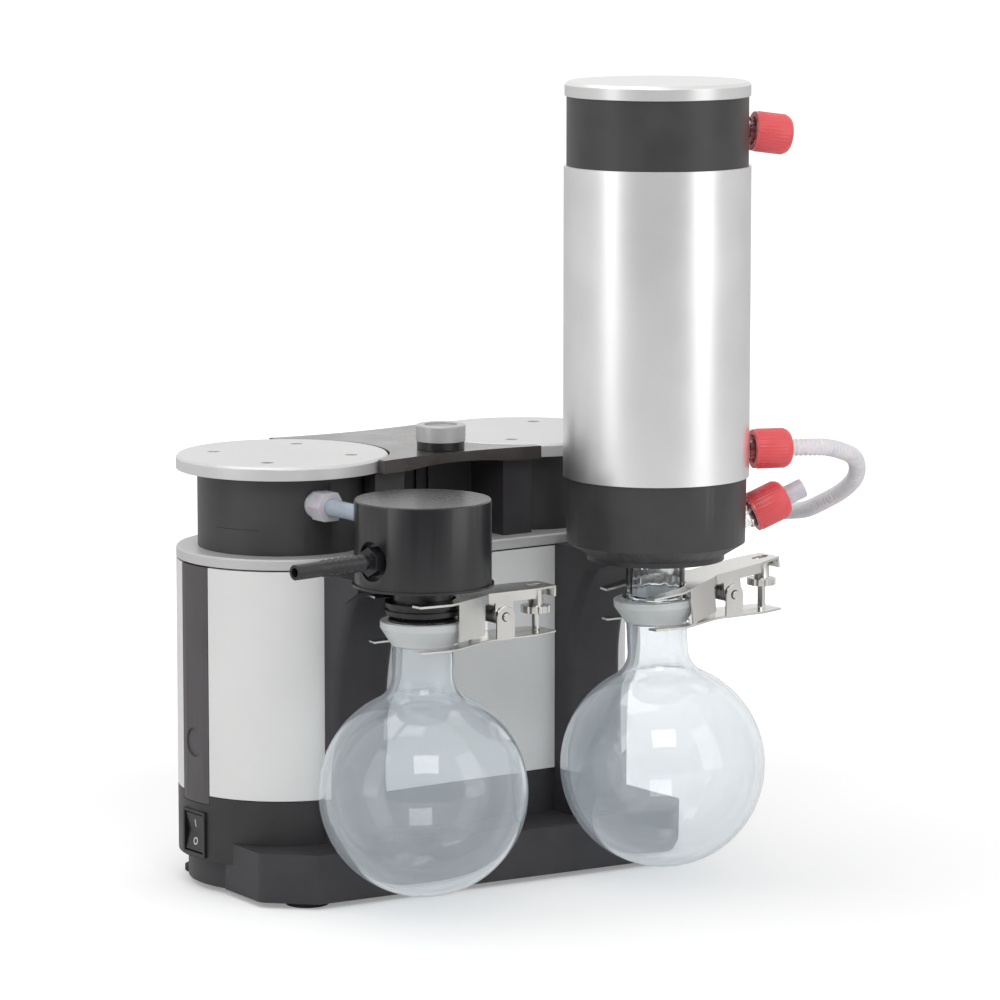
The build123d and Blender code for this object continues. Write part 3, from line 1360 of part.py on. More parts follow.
clamps = (
    ("left", separator_seat, 0.0, left_web_depth),
    ("right", condenser_seat, right_clamp_tilt, right_web_depth),
)
ear_inside = clamp_neck_half + running_gap
ear_outside = ear_inside + clamp_sheet
lower_plate_top = clamp_sheet - clamp_drop
screw_reach = clamp_screw - clamp_pivot
for side, joint_seat, tilt, web_depth in clamps:
    pivot = joint_seat.origin + Vector(clamp_pivot, 0, clamp_pivot_height)
    level = Plane(origin=pivot)
    along = (cos(radians(tilt)), 0, sin(radians(tilt)))
    tilted = Plane(origin=pivot, x_dir=along, z_dir=(-sin(radians(tilt)), 0, cos(radians(tilt))))
    plate_above = clamp_rise / cos(radians(tilt)) + screw_reach * tan(radians(tilt))
    hub_top = plate_above - clamp_hub_radius * tan(radians(tilt)) - seam
    screw_place = screw_reach * cos(radians(tilt)) + plate_above * sin(radians(tilt)) - 1

    with BuildPart() as upper_fork:
        with BuildSketch(tilted.offset(clamp_rise)):
            add(fork_plan(clamp_neck_half, clamp_upper_slot))
            with Locations((screw_place, 0)):
                SlotOverall(2 * clamp_screw_radius + 5, 2 * clamp_screw_radius + 1.4, mode=Mode.SUBTRACT)
        extrude(amount=clamp_sheet)
        with BuildSketch(tilted.offset(clamp_rise)):
            with BuildLine():
                Polyline(
                    (clamp_web_start - clamp_pivot, clamp_web_start_half),
                    (clamp_web_end - clamp_pivot, clamp_web_end_half),
                    (clamp_web_end - clamp_pivot, clamp_web_end_half - clamp_sheet - 0.1),
                    (clamp_web_start - clamp_pivot, clamp_web_start_half - clamp_sheet - 0.1),
                    close=True,
                )
            make_face()
            mirror(about=Plane.XZ)
        extrude(amount=-web_depth)
        with BuildSketch(tilted.offset(clamp_rise)):
            with BuildLine():
                Polyline(
                    (clamp_web_end - clamp_pivot, clamp_web_end_half),
                    (clamp_web_end - clamp_pivot + 4, clamp_neck_half),
                    (clamp_flange_end - clamp_pivot, clamp_neck_half),
                    (clamp_flange_end - clamp_pivot, clamp_neck_half - clamp_sheet),
                    (clamp_web_end - clamp_pivot + 4, clamp_neck_half - clamp_sheet),
                    (clamp_web_end - clamp_pivot, clamp_web_end_half - clamp_sheet - 0.1),
                    close=True,
                )
            make_face()
            mirror(about=Plane.XZ)
        extrude(amount=-clamp_flange_depth)
        with BuildSketch(tilted.offset(clamp_rise)):
            with Locations((clamp_tail - clamp_pivot, 0)):
                Rectangle(clamp_sheet, 2 * clamp_tail_half, align=(Align.MAX, Align.CENTER))
        extrude(amount=-clamp_tail_lip)
        for web_side in (-1, 1):
            with BuildSketch(turned(tilted).offset(-web_side * clamp_neck_half)):
                Circle(clamp_ear_radius)
                Rectangle(2 * clamp_ear_radius, clamp_rise, align=(Align.CENTER, Align.MIN))
            extrude(amount=web_side * clamp_sheet)
        with BuildSketch(turned(tilted)):
            Circle(clamp_pin_radius + fit_gap)
        extrude(amount=clamp_prong_half, both=True, mode=Mode.SUBTRACT)
    upper_fork.part.label = f"clamp_{side}_upper_fork"
    export_step(upper_fork.part, f"parts/clamp_{side}_upper_fork.step")

    with BuildPart() as lower_fork:
        with BuildSketch(level.offset(lower_plate_top)):
            add(fork_plan(ear_outside, clamp_lower_slot))
        extrude(amount=-clamp_sheet)
        for ear_side in (-1, 1):
            with BuildSketch(turned(level).offset(-ear_side * ear_outside)):
                Circle(clamp_ear_radius)
                Rectangle(2 * clamp_ear_radius, -lower_plate_top, align=(Align.CENTER, Align.MAX))
            extrude(amount=ear_side * clamp_sheet)
        with BuildSketch(turned(level)):
            Circle(clamp_pin_radius + running_gap)
        extrude(amount=clamp_prong_half, both=True, mode=Mode.SUBTRACT)
        with BuildSketch(level.offset(lower_plate_top)):
            with Locations((screw_reach, 0)):
                Circle(clamp_screw_radius)
        extrude(amount=hub_top - 1 - lower_plate_top)
    lower_fork.part.label = f"clamp_{side}_lower_fork"
    export_step(lower_fork.part, f"parts/clamp_{side}_lower_fork.step")

    with BuildPart() as clamp_nut:
        with BuildSketch(level.offset(hub_top - clamp_hub_height)):
            with Locations((screw_reach, 0)):
                Circle(clamp_nut_radius)
                with PolarLocations(clamp_nut_radius + 0.5, clamp_nut_flutes):
                    Circle(1.2, mode=Mode.SUBTRACT)
        extrude(amount=-clamp_nut_height)
        with BuildSketch(level.offset(hub_top - clamp_hub_height)):
            with Locations((screw_reach, 0)):
                Circle(clamp_hub_radius)
        extrude(amount=clamp_hub_height)
        with BuildSketch(level.offset(hub_top)):
            with Locations((screw_reach, 0)):
                Circle(clamp_screw_radius + running_gap)
        extrude(amount=-2 * clamp_hub_height, mode=Mode.SUBTRACT)
    clamp_nut.part.label = f"clamp_{side}_nut"
    export_step(clamp_nut.part, f"parts/clamp_{side}_nut.step")

# Clamp pins through the webs and the ears
with BuildPart() as clamp_pins:
    for side, joint_seat, tilt, web_depth in clamps:
        pivot = joint_seat.origin + Vector(clamp_pivot, 0, clamp_pivot_height)
        with BuildSketch(turned(Plane(origin=pivot))):
            Circle(clamp_pin_radius)
        extrude(amount=ear_outside + 1, both=True)
clamp_pins.part.label = "clamp_pins"
export_step(clamp_pins.part, "parts/clamp_pins.step")

# Clamp springs: close coils round the pins between the webs
spring_pitch = 2 * spring_half_length / spring_turns
with BuildPart() as clamp_springs:
    for side, joint_seat, tilt, web_depth in clamps:
        pivot = joint_seat.origin + Vector(clamp_pivot, 0, clamp_pivot_height)
        spring_seat = Plane(origin=pivot, x_dir=(1, 0, 0), z_dir=(0, 1, 0))
        with BuildSketch(turned(spring_seat)):
            with BuildLine():
                spring_outline = [(clamp_pin_radius + running_gap, -spring_half_length)]
                for coil in range(spring_turns):
                    coil_place = -spring_half_length + coil * spring_pitch
                    spring_outline.append((spring_radius - spring_pitch / 3, coil_place))
                    spring_outline.append((spring_radius, coil_place + spring_pitch / 2))
                spring_outline.append((spring_radius - spring_pitch / 3, spring_half_length))
                spring_outline.append((clamp_pin_radius + running_gap, spring_half_length))
                Polyline(*spring_outline, close=True)
            make_face()
        revolve(axis=spindle(spring_seat))
clamp_springs.part.label = "clamp_springs"
export_step(clamp_springs.part, "parts/clamp_springs.step")
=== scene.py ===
import json
from math import cos, pi, radians, sin

import bmesh
import bpy
from mathutils import Matrix, Vector
from mathutils.bvhtree import BVHTree


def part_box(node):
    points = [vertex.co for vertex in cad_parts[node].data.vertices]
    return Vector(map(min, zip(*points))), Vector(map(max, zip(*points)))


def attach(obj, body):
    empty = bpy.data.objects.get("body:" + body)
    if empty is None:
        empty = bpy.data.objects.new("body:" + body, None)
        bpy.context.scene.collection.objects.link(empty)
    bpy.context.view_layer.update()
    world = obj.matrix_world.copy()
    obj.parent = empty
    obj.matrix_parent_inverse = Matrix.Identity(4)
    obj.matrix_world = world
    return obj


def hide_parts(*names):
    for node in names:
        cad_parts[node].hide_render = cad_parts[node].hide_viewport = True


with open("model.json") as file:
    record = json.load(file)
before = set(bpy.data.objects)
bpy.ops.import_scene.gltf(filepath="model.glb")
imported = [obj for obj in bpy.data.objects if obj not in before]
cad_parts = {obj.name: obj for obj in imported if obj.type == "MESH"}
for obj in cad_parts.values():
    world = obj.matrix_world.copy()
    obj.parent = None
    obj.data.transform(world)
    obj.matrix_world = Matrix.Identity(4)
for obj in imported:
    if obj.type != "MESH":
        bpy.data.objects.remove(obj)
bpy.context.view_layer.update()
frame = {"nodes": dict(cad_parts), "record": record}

mm = 0.001
bodyOf = {node: body for body, nodes in frame["record"]["behaviour"]["bodies"].items() for node in nodes}
slotOf = {entry["node"]: entry["material_slot"] for entry in frame["record"]["subparts"]}
jointOf = {joint["child"]: joint for joint in frame["record"]["behaviour"]["joints"]}


def middleOf(node):
    low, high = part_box(node)
    return (Vector(low) + Vector(high)) / 2


# the upright axes that the turned pieces are made about
knobMiddle = middleOf("knob_seat")
separatorAxis = middleOf("separator_body")
condenserAxis = middleOf("condenser_lid")

# camera: a long lens to the left of the front, a little above the deck
cameraLook = {
    "place": (-1.42216, -2.0191, 0.5653),
    "right": (0.8141, -0.5807, 0.0),
    "ahead": (0.5744, 0.8052, -0.1471),
    "lens": 175.97,
    "sensor": 36,
    "farthest": 40,
}


def makeCamera(look):
    camera = bpy.data.objects.new("camera", bpy.data.cameras.new("camera"))
    bpy.context.collection.objects.link(camera)
    right = Vector(look["right"]).normalized()
    ahead = Vector(look["ahead"]).normalized()
    upward = right.cross(ahead)
    turn = Matrix((right, upward, -ahead)).transposed().to_4x4()
    camera.matrix_world = Matrix.Translation(look["place"]) @ turn
    camera.data.lens = look["lens"]
    camera.data.sensor_width = look["sensor"]
    camera.data.clip_end = look["farthest"]
    bpy.context.scene.camera = camera


makeCamera(cameraLook)
print("camera is set")


# a node in a shader tree, with values or other nodes' sockets put into its inputs
def addNode(tree, kind, inputs=None, **settings):
    node = tree.nodes.new("ShaderNode" + kind)
    for key, value in settings.items():
        setattr(node, key, value)
    for socket, value in (inputs or {}).items():
        if isinstance(value, bpy.types.NodeSocket):
            tree.links.new(value, node.inputs[socket])
        else:
            node.inputs[socket].default_value = value
    return node


def maths(tree, operation, *values):
    return addNode(tree, "Math", dict(enumerate(values)), operation=operation).outputs[0]


def noise(tree, place, scale, detail):
    return addNode(tree, "TexNoise", {"Vector": place, "Scale": scale, "Detail": detail}).outputs["Fac"]


# a value taken from one stretch to another, straight or with soft ends
def ranged(tree, value, start, end, low=0.0, high=1.0, **settings):
    limits = {"Value": value, "From Min": start, "From Max": end, "To Min": low, "To Max": high}
    return addNode(tree, "MapRange", limits, **settings).outputs[0]


# an effect is a node group that turns a place on a piece into a height and a mask
def newEffect(name, numbers, results=("Height", "Mask")):
    effect = bpy.data.node_groups.new(name, "ShaderNodeTree")
    effect.interface.new_socket("Place", in_out="INPUT", socket_type="NodeSocketVector")
    for label, value in numbers.items():
        socket = effect.interface.new_socket(label, in_out="INPUT", socket_type="NodeSocketFloat")
        socket.default_value = value
    for label in results:
        effect.interface.new_socket(label, in_out="OUTPUT", socket_type="NodeSocketFloat")
    return effect, effect.nodes.new("NodeGroupInput").outputs, effect.nodes.new("NodeGroupOutput").inputs


# moulded plastic and cast metal: a fine even grain under broad soft patches
def makeMouldedGrain():
    tree, given, result = newEffect("mouldedGrain", {"Grain": 2600.0, "Patches": 45.0})
    fine = noise(tree, given["Place"], given["Grain"], 3.0)
    pits = addNode(tree, "TexVoronoi", {"Vector": given["Place"], "Scale": given["Grain"]})
    tree.links.new(maths(tree, "MULTIPLY_ADD", pits.outputs["Distance"], 0.5, fine), result["Height"])
    tree.links.new(noise(tree, given["Place"], given["Patches"], 5.0), result["Mask"])
    return tree


# sprayed paint: a soft orange peel and the odd speck of dust
def makeSprayedPaint():
    tree, given, result = newEffect("sprayedPaint", {"Peel": 700.0, "Specks": 420.0, "Patches": 18.0})
    peel = noise(tree, given["Place"], given["Peel"], 2.0)
    speck = addNode(tree, "TexVoronoi", {"Vector": given["Place"], "Scale": given["Specks"]})
    dust = ranged(tree, speck.outputs["Distance"], 0.06, 0.1, 0.35, 0.0)
    tree.links.new(maths(tree, "ADD", peel, dust), result["Height"])
    tree.links.new(noise(tree, given["Place"], given["Patches"], 4.0), result["Mask"])
    return tree


# turned on a lathe: fine rings about an upright axis, of uneven depth
def makeTurnedRings():
    numbers = {"AxisX": 0.0, "AxisY": 0.0, "Rings": 2200.0, "Bands": 700.0}
    tree, given, result = newEffect("turnedRings", numbers)
    place = addNode(tree, "SeparateXYZ", {0: given["Place"]}).outputs
    across = maths(tree, "SUBTRACT", place["X"], given["AxisX"])
    along = maths(tree, "SUBTRACT", place["Y"], given["AxisY"])
    acrossSquare = maths(tree, "MULTIPLY", across, across)
    alongSquare = maths(tree, "MULTIPLY", along, along)
    radius = maths(tree, "SQRT", maths(tree, "ADD", acrossSquare, alongSquare))
    spot = addNode(tree, "CombineXYZ", {"X": radius}).outputs[0]
    tree.links.new(noise(tree, spot, given["Rings"], 2.0), result["Height"])
    tree.links.new(noise(tree, spot, given["Bands"], 3.0), result["Mask"])
    return tree


# brushed round: short fine scratches that run level round an upright piece
def makeBrushedRound():
    tree, given, result = newEffect("brushedRound", {"Lines": 2600.0, "Patches": 30.0})
    stretch = {0: given["Place"], 1: (0.03, 0.03, 1.0)}
    stretched = addNode(tree, "VectorMath", stretch, operation="MULTIPLY").outputs[0]
    tree.links.new(noise(tree, stretched, given["Lines"], 4.0), result["Height"])
    tree.links.new(noise(tree, given["Place"], given["Patches"], 4.0), result["Mask"])
    return tree


# blown glass and clear mouldings: slow waves in the wall
def makeSlowWaves():
    tree, given, result = newEffect("slowWaves", {"Waves": 38.0, "Streaks": 160.0})
    tree.links.new(noise(tree, given["Place"], given["Waves"], 1.0), result["Height"])
    tree.links.new(noise(tree, given["Place"], given["Streaks"], 3.0), result["Mask"])
    return tree


# a mask by height on a piece: 0 below From, and 1 from the end of a short soft stretch above it
def makeHeightBand():
    tree, given, result = newEffect("heightBand", {"From": 0.0, "Soft": 1.2 * mm}, ("Mask",))
    height = addNode(tree, "SeparateXYZ", {0: given["Place"]}).outputs["Z"]
    over = maths(tree, "SUBTRACT", height, given["From"])
    band = ranged(tree, over, 0.0, given["Soft"], interpolation_type="SMOOTHSTEP")
    tree.links.new(band, result["Mask"])
    return tree


effects = {
    "moulded": makeMouldedGrain(),
    "sprayed": makeSprayedPaint(),
    "turned": makeTurnedRings(),
    "brushed": makeBrushedRound(),
    "waves": makeSlowWaves(),
}
heightBand = makeHeightBand()
print("effects are made")


# one finish: two near shades mixed by the mask, roughness between two limits, and the height as a bump
def makeFinish(name, look, axis=None):
    material = bpy.data.materials.new(name)
    material.use_nodes = True
    tree = material.node_tree
    shader = tree.nodes["Principled BSDF"]
    numbers = dict(look.get("numbers", {}))
    if axis is not None:
        numbers.update({"AxisX": axis.x, "AxisY": axis.y})
    place = addNode(tree, "TexCoord").outputs["Object"]
    effect = addNode(tree, "Group", {"Place": place, **numbers}, node_tree=effects[look["effect"]])
    mask = effect.outputs["Mask"]
    pair = {0: ranged(tree, mask, 0.35, 0.65), 6: (*look["shade"], 1), 7: (*look["colour"], 1)}
    shades = addNode(tree, "Mix", pair, data_type="RGBA")
    tree.links.new(shades.outputs[2], shader.inputs["Base Color"])
    tree.links.new(ranged(tree, mask, 0.3, 0.7, *look["roughness"]), shader.inputs["Roughness"])
    relief = {"Height": effect.outputs["Height"], "Strength": look["bump"], "Distance": look["depth"] * mm}
    tree.links.new(addNode(tree, "Bump", relief).outputs["Normal"], shader.inputs["Normal"])
    for socket, value in look.get("sockets", {}).items():
        shader.inputs[socket].default_value = value
    return material


looks = {
    "rubber": {
        "effect": "moulded", "colour": (0.022, 0.021, 0.021), "shade": (0.016, 0.016, 0.016),
        "roughness": (0.7, 0.9), "bump": 0.5, "depth": 0.02,
    },
    "graphite_moulding": {
        "effect": "moulded", "colour": (0.045, 0.042, 0.046), "shade": (0.036, 0.033, 0.037),
        "roughness": (0.45, 0.58), "bump": 0.55, "depth": 0.03,
        "sockets": {"Specular IOR Level": 0.4},
    },
    "housing_black": {
        "effect": "moulded", "colour": (0.036, 0.034, 0.036), "shade": (0.029, 0.027, 0.029),
        "roughness": (0.4, 0.52), "bump": 0.45, "depth": 0.03,
        "sockets": {"Specular IOR Level": 0.4},
    },
    "panel_grey": {
        "effect": "sprayed", "colour": (0.74, 0.74, 0.735), "shade": (0.71, 0.71, 0.705),
        "roughness": (0.36, 0.46), "bump": 0.4, "depth": 0.02,
        "sockets": {"Coat Weight": 0.15},
    },
    "strip_grey": {
        "effect": "moulded", "colour": (0.075, 0.067, 0.073), "shade": (0.062, 0.055, 0.06),
        "roughness": (0.4, 0.5), "bump": 0.45, "depth": 0.03,
    },
    "deck_grey": {
        "effect": "sprayed", "colour": (0.56, 0.56, 0.555), "shade": (0.52, 0.52, 0.515),
        "roughness": (0.34, 0.44), "bump": 0.4, "depth": 0.02,
        "sockets": {"Metallic": 0.15},
    },
    "head_black": {
        "effect": "moulded", "colour": (0.045, 0.043, 0.044), "shade": (0.036, 0.034, 0.035),
        "roughness": (0.36, 0.46), "bump": 0.5, "depth": 0.03,
        "sockets": {"Specular IOR Level": 0.5},
    },
    "cover_grey": {
        "effect": "sprayed", "colour": (0.66, 0.66, 0.657), "shade": (0.6, 0.6, 0.597),
        "roughness": (0.3, 0.4), "bump": 0.5, "depth": 0.02,
        "sockets": {"Metallic": 0.35},
    },
    "bridge_brown": {
        "effect": "moulded", "colour": (0.078, 0.066, 0.062), "shade": (0.05, 0.043, 0.042),
        "roughness": (0.2, 0.32), "bump": 0.5, "depth": 0.06,
        "numbers": {"Grain": 1400.0},
        "sockets": {"Specular IOR Level": 0.7, "Coat Weight": 0.2},
    },
    "knob_grey": {
        "effect": "sprayed", "colour": (0.4, 0.4, 0.4), "shade": (0.35, 0.35, 0.355),
        "roughness": (0.32, 0.42), "bump": 0.4, "depth": 0.02,
        "sockets": {"Metallic": 0.2},
    },
    "switch_black": {
        "effect": "moulded", "colour": (0.014, 0.014, 0.014), "shade": (0.01, 0.01, 0.01),
        "roughness": (0.25, 0.35), "bump": 0.3, "depth": 0.02,
    },
    "gloss_black": {
        "effect": "moulded", "colour": (0.018, 0.018, 0.02), "shade": (0.013, 0.013, 0.015),
        "roughness": (0.24, 0.32), "bump": 0.25, "depth": 0.02,
        "sockets": {"Specular IOR Level": 0.5},
    },
    "translucent_white": {
        "effect": "waves", "colour": (0.78, 0.77, 0.82), "shade": (0.7, 0.69, 0.75),
        "roughness": (0.3, 0.42), "bump": 0.3, "depth": 0.05,
        "sockets": {"Subsurface Weight": 0.5, "Subsurface Scale": 0.004, "Transmission Weight": 0.25},
    },
    "clear_blue": {
        "effect": "waves", "colour": (0.62, 0.7, 0.78), "shade": (0.56, 0.64, 0.73),
        "roughness": (0.12, 0.22), "bump": 0.3, "depth": 0.05,
        "sockets": {"Transmission Weight": 0.45},
    },
    "satin_steel": {
        "effect": "brushed", "colour": (0.92, 0.92, 0.925), "shade": (0.89, 0.89, 0.895),
        "roughness": (0.29, 0.34), "bump": 0.5, "depth": 0.015,
        "sockets": {"Metallic": 1.0},
    },
    "chrome": {
        "effect": "brushed", "colour": (0.72, 0.71, 0.68), "shade": (0.64, 0.63, 0.61),
        "roughness": (0.16, 0.3), "bump": 0.25, "depth": 0.02,
        "numbers": {"Lines": 1400.0},
        "sockets": {"Metallic": 1.0},
    },
    "steel": {
        "effect": "brushed", "colour": (0.5, 0.5, 0.5), "shade": (0.42, 0.42, 0.42),
        "roughness": (0.3, 0.42), "bump": 0.4, "depth": 0.02,
        "sockets": {"Metallic": 1.0},
    },
    "copper": {
        "effect": "brushed", "colour": (0.55, 0.27, 0.13), "shade": (0.42, 0.2, 0.1),
        "roughness": (0.34, 0.5), "bump": 0.9, "depth": 0.2,
        "numbers": {"Lines": 700.0},
        "sockets": {"Metallic": 1.0},
    },
    "green_board": {
        "effect": "sprayed", "colour": (0.04, 0.17, 0.09), "shade": (0.03, 0.13, 0.07),
        "roughness": (0.4, 0.5), "bump": 0.3, "depth": 0.02,
    },
    "membrane": {
        "effect": "moulded", "colour": (0.1, 0.1, 0.1), "shade": (0.08, 0.08, 0.08),
        "roughness": (0.5, 0.65), "bump": 0.4, "depth": 0.02,
    },
    "cap_red": {
        "effect": "moulded", "colour": (0.82, 0.1, 0.11), "shade": (0.76, 0.085, 0.095),
        "roughness": (0.25, 0.34), "bump": 0.25, "depth": 0.02,
        "sockets": {"Subsurface Weight": 0.15, "Subsurface Scale": 0.002, "Specular IOR Level": 0.5},
    },
    "glass": {
        "effect": "waves", "colour": (0.975, 0.987, 0.995), "shade": (0.955, 0.972, 0.985),
        "roughness": (0.0, 0.012), "bump": 0.12, "depth": 0.3,
        "sockets": {"Transmission Weight": 1.0, "IOR": 1.47},
    },
    "hose_white": {
        "effect": "waves", "colour": (0.86, 0.85, 0.88), "shade": (0.8, 0.79, 0.83),
        "roughness": (0.34, 0.46), "bump": 0.2, "depth": 0.05,
        "sockets": {"Subsurface Weight": 0.4, "Subsurface Scale": 0.003, "Transmission Weight": 0.12},
    },
}
finishes = {slot: makeFinish(slot, look) for slot, look in looks.items()}

# flask glass: clear with a thin bluish haze, and ground white where the ball joint's socket is
flaskLook = {
    "bulb": 52.5,
    "shoulder": 42.0,
    "ground": 136.5,
    "haze": 0.2,
    "uneven": 0.08,
    "tint": (0.93, 0.95, 0.96),
    "film": (0.8, 0.86, 0.91),
    "frosted": {
        "Base Color": (0.84, 0.86, 0.86, 1), "Roughness": 0.55,
        "Transmission Weight": 0.55, "IOR": 1.47,
    },
}


# light goes straight through glass to what lies in its shadow or is lit by way of it
def letLightThrough(tree, surface, tint):
    seen = addNode(tree, "LightPath").outputs
    passing = maths(tree, "MAXIMUM", seen["Is Shadow Ray"], seen["Is Diffuse Ray"])
    through = addNode(tree, "BsdfTransparent", {"Color": (*tint, 1)})
    both = addNode(tree, "MixShader", {0: passing, 1: surface, 2: through.outputs[0]})
    output = next(node for node in tree.nodes if node.type == "OUTPUT_MATERIAL")
    tree.links.new(both.outputs[0], output.inputs["Surface"])


def makeFlaskGlass(name, look, haze):
    material = makeFinish(name, looks["glass"])
    tree = material.node_tree
    clear = tree.nodes["Principled BSDF"]
    place = addNode(tree, "TexCoord").outputs["Object"]
    wave = noise(tree, place, 26.0, 2.0)
    veil = ranged(tree, wave, 0.35, 0.65, haze * (1 - look["uneven"]), haze * (1 + look["uneven"]))
    film = addNode(tree, "BsdfDiffuse", {"Color": (*look["film"], 1), "Roughness": 0.5})
    skin = addNode(tree, "MixShader", {0: veil, 1: clear.outputs[0], 2: film.outputs[0]})
    relief = {"Height": noise(tree, place, 1900.0, 2.0), "Strength": 0.6, "Distance": 0.03 * mm}
    bump = addNode(tree, "Bump", relief).outputs[0]
    ground = addNode(tree, "BsdfPrincipled", {**look["frosted"], "Normal": bump})
    band = addNode(tree, "Group", {"Place": place, "From": look["ground"] * mm}, node_tree=heightBand)
    both = addNode(tree, "MixShader", {0: band.outputs["Mask"], 1: skin.outputs[0], 2: ground.outputs[0]})
    letLightThrough(tree, both.outputs[0], look["tint"])
    return material


glassTree = finishes["glass"].node_tree
letLightThrough(glassTree, glassTree.nodes["Principled BSDF"].outputs[0], flaskLook["tint"])
flaskInside = makeFlaskGlass("flaskInside", flaskLook, 0.0)
flaskSkin = makeFlaskGlass("flaskSkin", flaskLook, flaskLook["haze"])

# the pieces with a finish of their own: the flasks, and the turned ones with rings about their axis
turnedBlack = {
    "effect": "turned", "colour": (0.015, 0.015, 0.017), "shade": (0.012, 0.012, 0.014),
    "roughness": (0.24, 0.3), "bump": 0.6, "depth": 0.012,
    "sockets": {"Specular IOR Level": 0.6},
}
turnedSatin = {
    "effect": "turned", "colour": (0.76, 0.76, 0.755), "shade": (0.68, 0.68, 0.675),
    "roughness": (0.26, 0.36), "bump": 0.7, "depth": 0.02,
    "sockets": {"Metallic": 0.6},
}
turnedKnob = {
    "effect": "turned", "colour": (0.5, 0.5, 0.5), "shade": (0.42, 0.42, 0.425),
    "roughness": (0.3, 0.4), "bump": 0.5, "depth": 0.02,
    "sockets": {"Metallic": 0.25},
}
ownFinish = {
    "flask_left": flaskInside,
    "flask_right": flaskInside,
    "separator_body": makeFinish("separatorTurned", turnedBlack, separatorAxis),
    "condenser_lid": makeFinish("lidTurned", turnedSatin, condenserAxis),
    "control_knob": makeFinish("knobTurned", turnedKnob, knobMiddle),
}
print("finishes are mixed")


# mesh work: what has been drawn becomes an object in the scene, with its finish on
def objectFrom(shape, name, material):
    mesh = bpy.data.meshes.new(name)
    shape.to_mesh(mesh)
    shape.free()
    piece = bpy.data.objects.new(name, mesh)
    bpy.context.collection.objects.link(piece)
    mesh.materials.append(material)
    return piece


def smoothUpTo(piece, degrees):
    for polygon in piece.data.polygons:
        polygon.use_smooth = True
    piece.data.set_sharp_from_angle(angle=radians(degrees))


def ringAt(shape, place, side, other, radii):
    turns = [2 * pi * index / len(radii) for index in range(len(radii))]
    return [shape.verts.new(place + reach * (cos(turn) * side + sin(turn) * other))
            for reach, turn in zip(radii, turns)]


def joinRings(shape, near, far):
    for index in range(len(near)):
        after = (index + 1) % len(near)
        shape.faces.new((near[index], near[after], far[after], far[index]))


def ridesWith(piece, node):
    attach(piece, bodyOf[node])


# a CAD piece with its facets joined, its edges softened and its finish on
edgeLook = {"weld": 1e-6, "flat": 0.4, "corner": 32, "width": 0.3, "segments": 2}


def finishedCopy(node, look):
    shape = bmesh.new()
    shape.from_mesh(frame["nodes"][node].data)
    bmesh.ops.remove_doubles(shape, verts=shape.verts, dist=look["weld"])
    bmesh.ops.dissolve_limit(shape, angle_limit=radians(look["flat"]), verts=shape.verts, edges=shape.edges)
    piece = objectFrom(shape, node + "_finished", ownFinish.get(node, finishes[slotOf[node]]))
    smoothUpTo(piece, look["corner"])
    bevel = piece.modifiers.new("bevel", "BEVEL")
    bevel.width = look["width"] * mm
    bevel.segments = look["segments"]
    bevel.limit_method = "ANGLE"
    bevel.angle_limit = radians(look["corner"])
    bevel.harden_normals = True
    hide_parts(node)
    ridesWith(piece, node)
    return piece


# a flask is hazy outside and clear inside: the outer faces look away from the bulb's middle or the axis
def hazeOutside(piece, look, material):
    mesh = piece.data
    mesh.materials.append(material)
    middle = sum((vertex.co for vertex in mesh.vertices), Vector()) / len(mesh.vertices)
    bulb = min(vertex.co.z for vertex in mesh.vertices) + look["bulb"] * mm
    for polygon in mesh.polygons:
        height = polygon.center.z
        within = Vector((middle.x, middle.y, bulb if height < bulb + look["shoulder"] * mm else height))
        if polygon.normal.dot(polygon.center - within) > 0:
            polygon.material_index = 1


for node in frame["nodes"]:
    if node == "vent_hose":
        continue
    piece = finishedCopy(node, edgeLook)
    if node in ("flask_left", "flask_right"):
        hazeOutside(piece, flaskLook, flaskSkin)
print("pieces are finished")


# small raised work is laid on a piece by rays from outside
def surfaceOf(node):
    source = frame["nodes"][node]
    corners = [source.matrix_world @ vertex.co for vertex in source.data.vertices]
    return BVHTree.FromPolygons(corners, [tuple(polygon.vertices) for polygon in source.data.polygons])


def laidOn(surface, start, direction, stand):
    return surface.ray_cast(start, direction)[0] - direction * stand


# a closed thin plate: two rows of corners on top and the same two below, joined round or open at the ends
def thinPlate(name, rows, closed, material, node):
    shape = bmesh.new()
    outerTop, innerTop, outerLow, innerLow = [[shape.verts.new(place) for place in row] for row in rows]
    count = len(outerTop)
    for index in range(count if closed else count - 1):
        after = (index + 1) % count
        shape.faces.new((outerTop[index], outerTop[after], innerTop[after], innerTop[index]))
        shape.faces.new((outerLow[index], innerLow[index], innerLow[after], outerLow[after]))
        shape.faces.new((outerTop[index], outerLow[index], outerLow[after], outerTop[after]))
        shape.faces.new((innerTop[index], innerTop[after], innerLow[after], innerLow[index]))
    if not closed:
        for end in (0, -1):
            shape.faces.new((outerTop[end], innerTop[end], innerLow[end], outerLow[end]))
    bmesh.ops.recalc_face_normals(shape, faces=shape.faces)
    ridesWith(objectFrom(shape, name, material), node)


# rocker marks: a bar above for on, a ring below for off, seen from the end of the housing
rockerMarks = {
    "ring": {"drop": 4.6, "outer": 1.9, "inner": 1.35, "corners": 28},
    "bar": {"rise": 4.8, "halfHeight": 1.9, "halfWidth": 0.3},
    "away": 30.0,
    "stand": 0.07,
    "sunk": 0.04,
}
markWhite = makeFinish("markWhite", {
    "effect": "sprayed", "colour": (0.78, 0.78, 0.78), "shade": (0.7, 0.7, 0.7),
    "roughness": (0.4, 0.5), "bump": 0.2, "depth": 0.02,
})


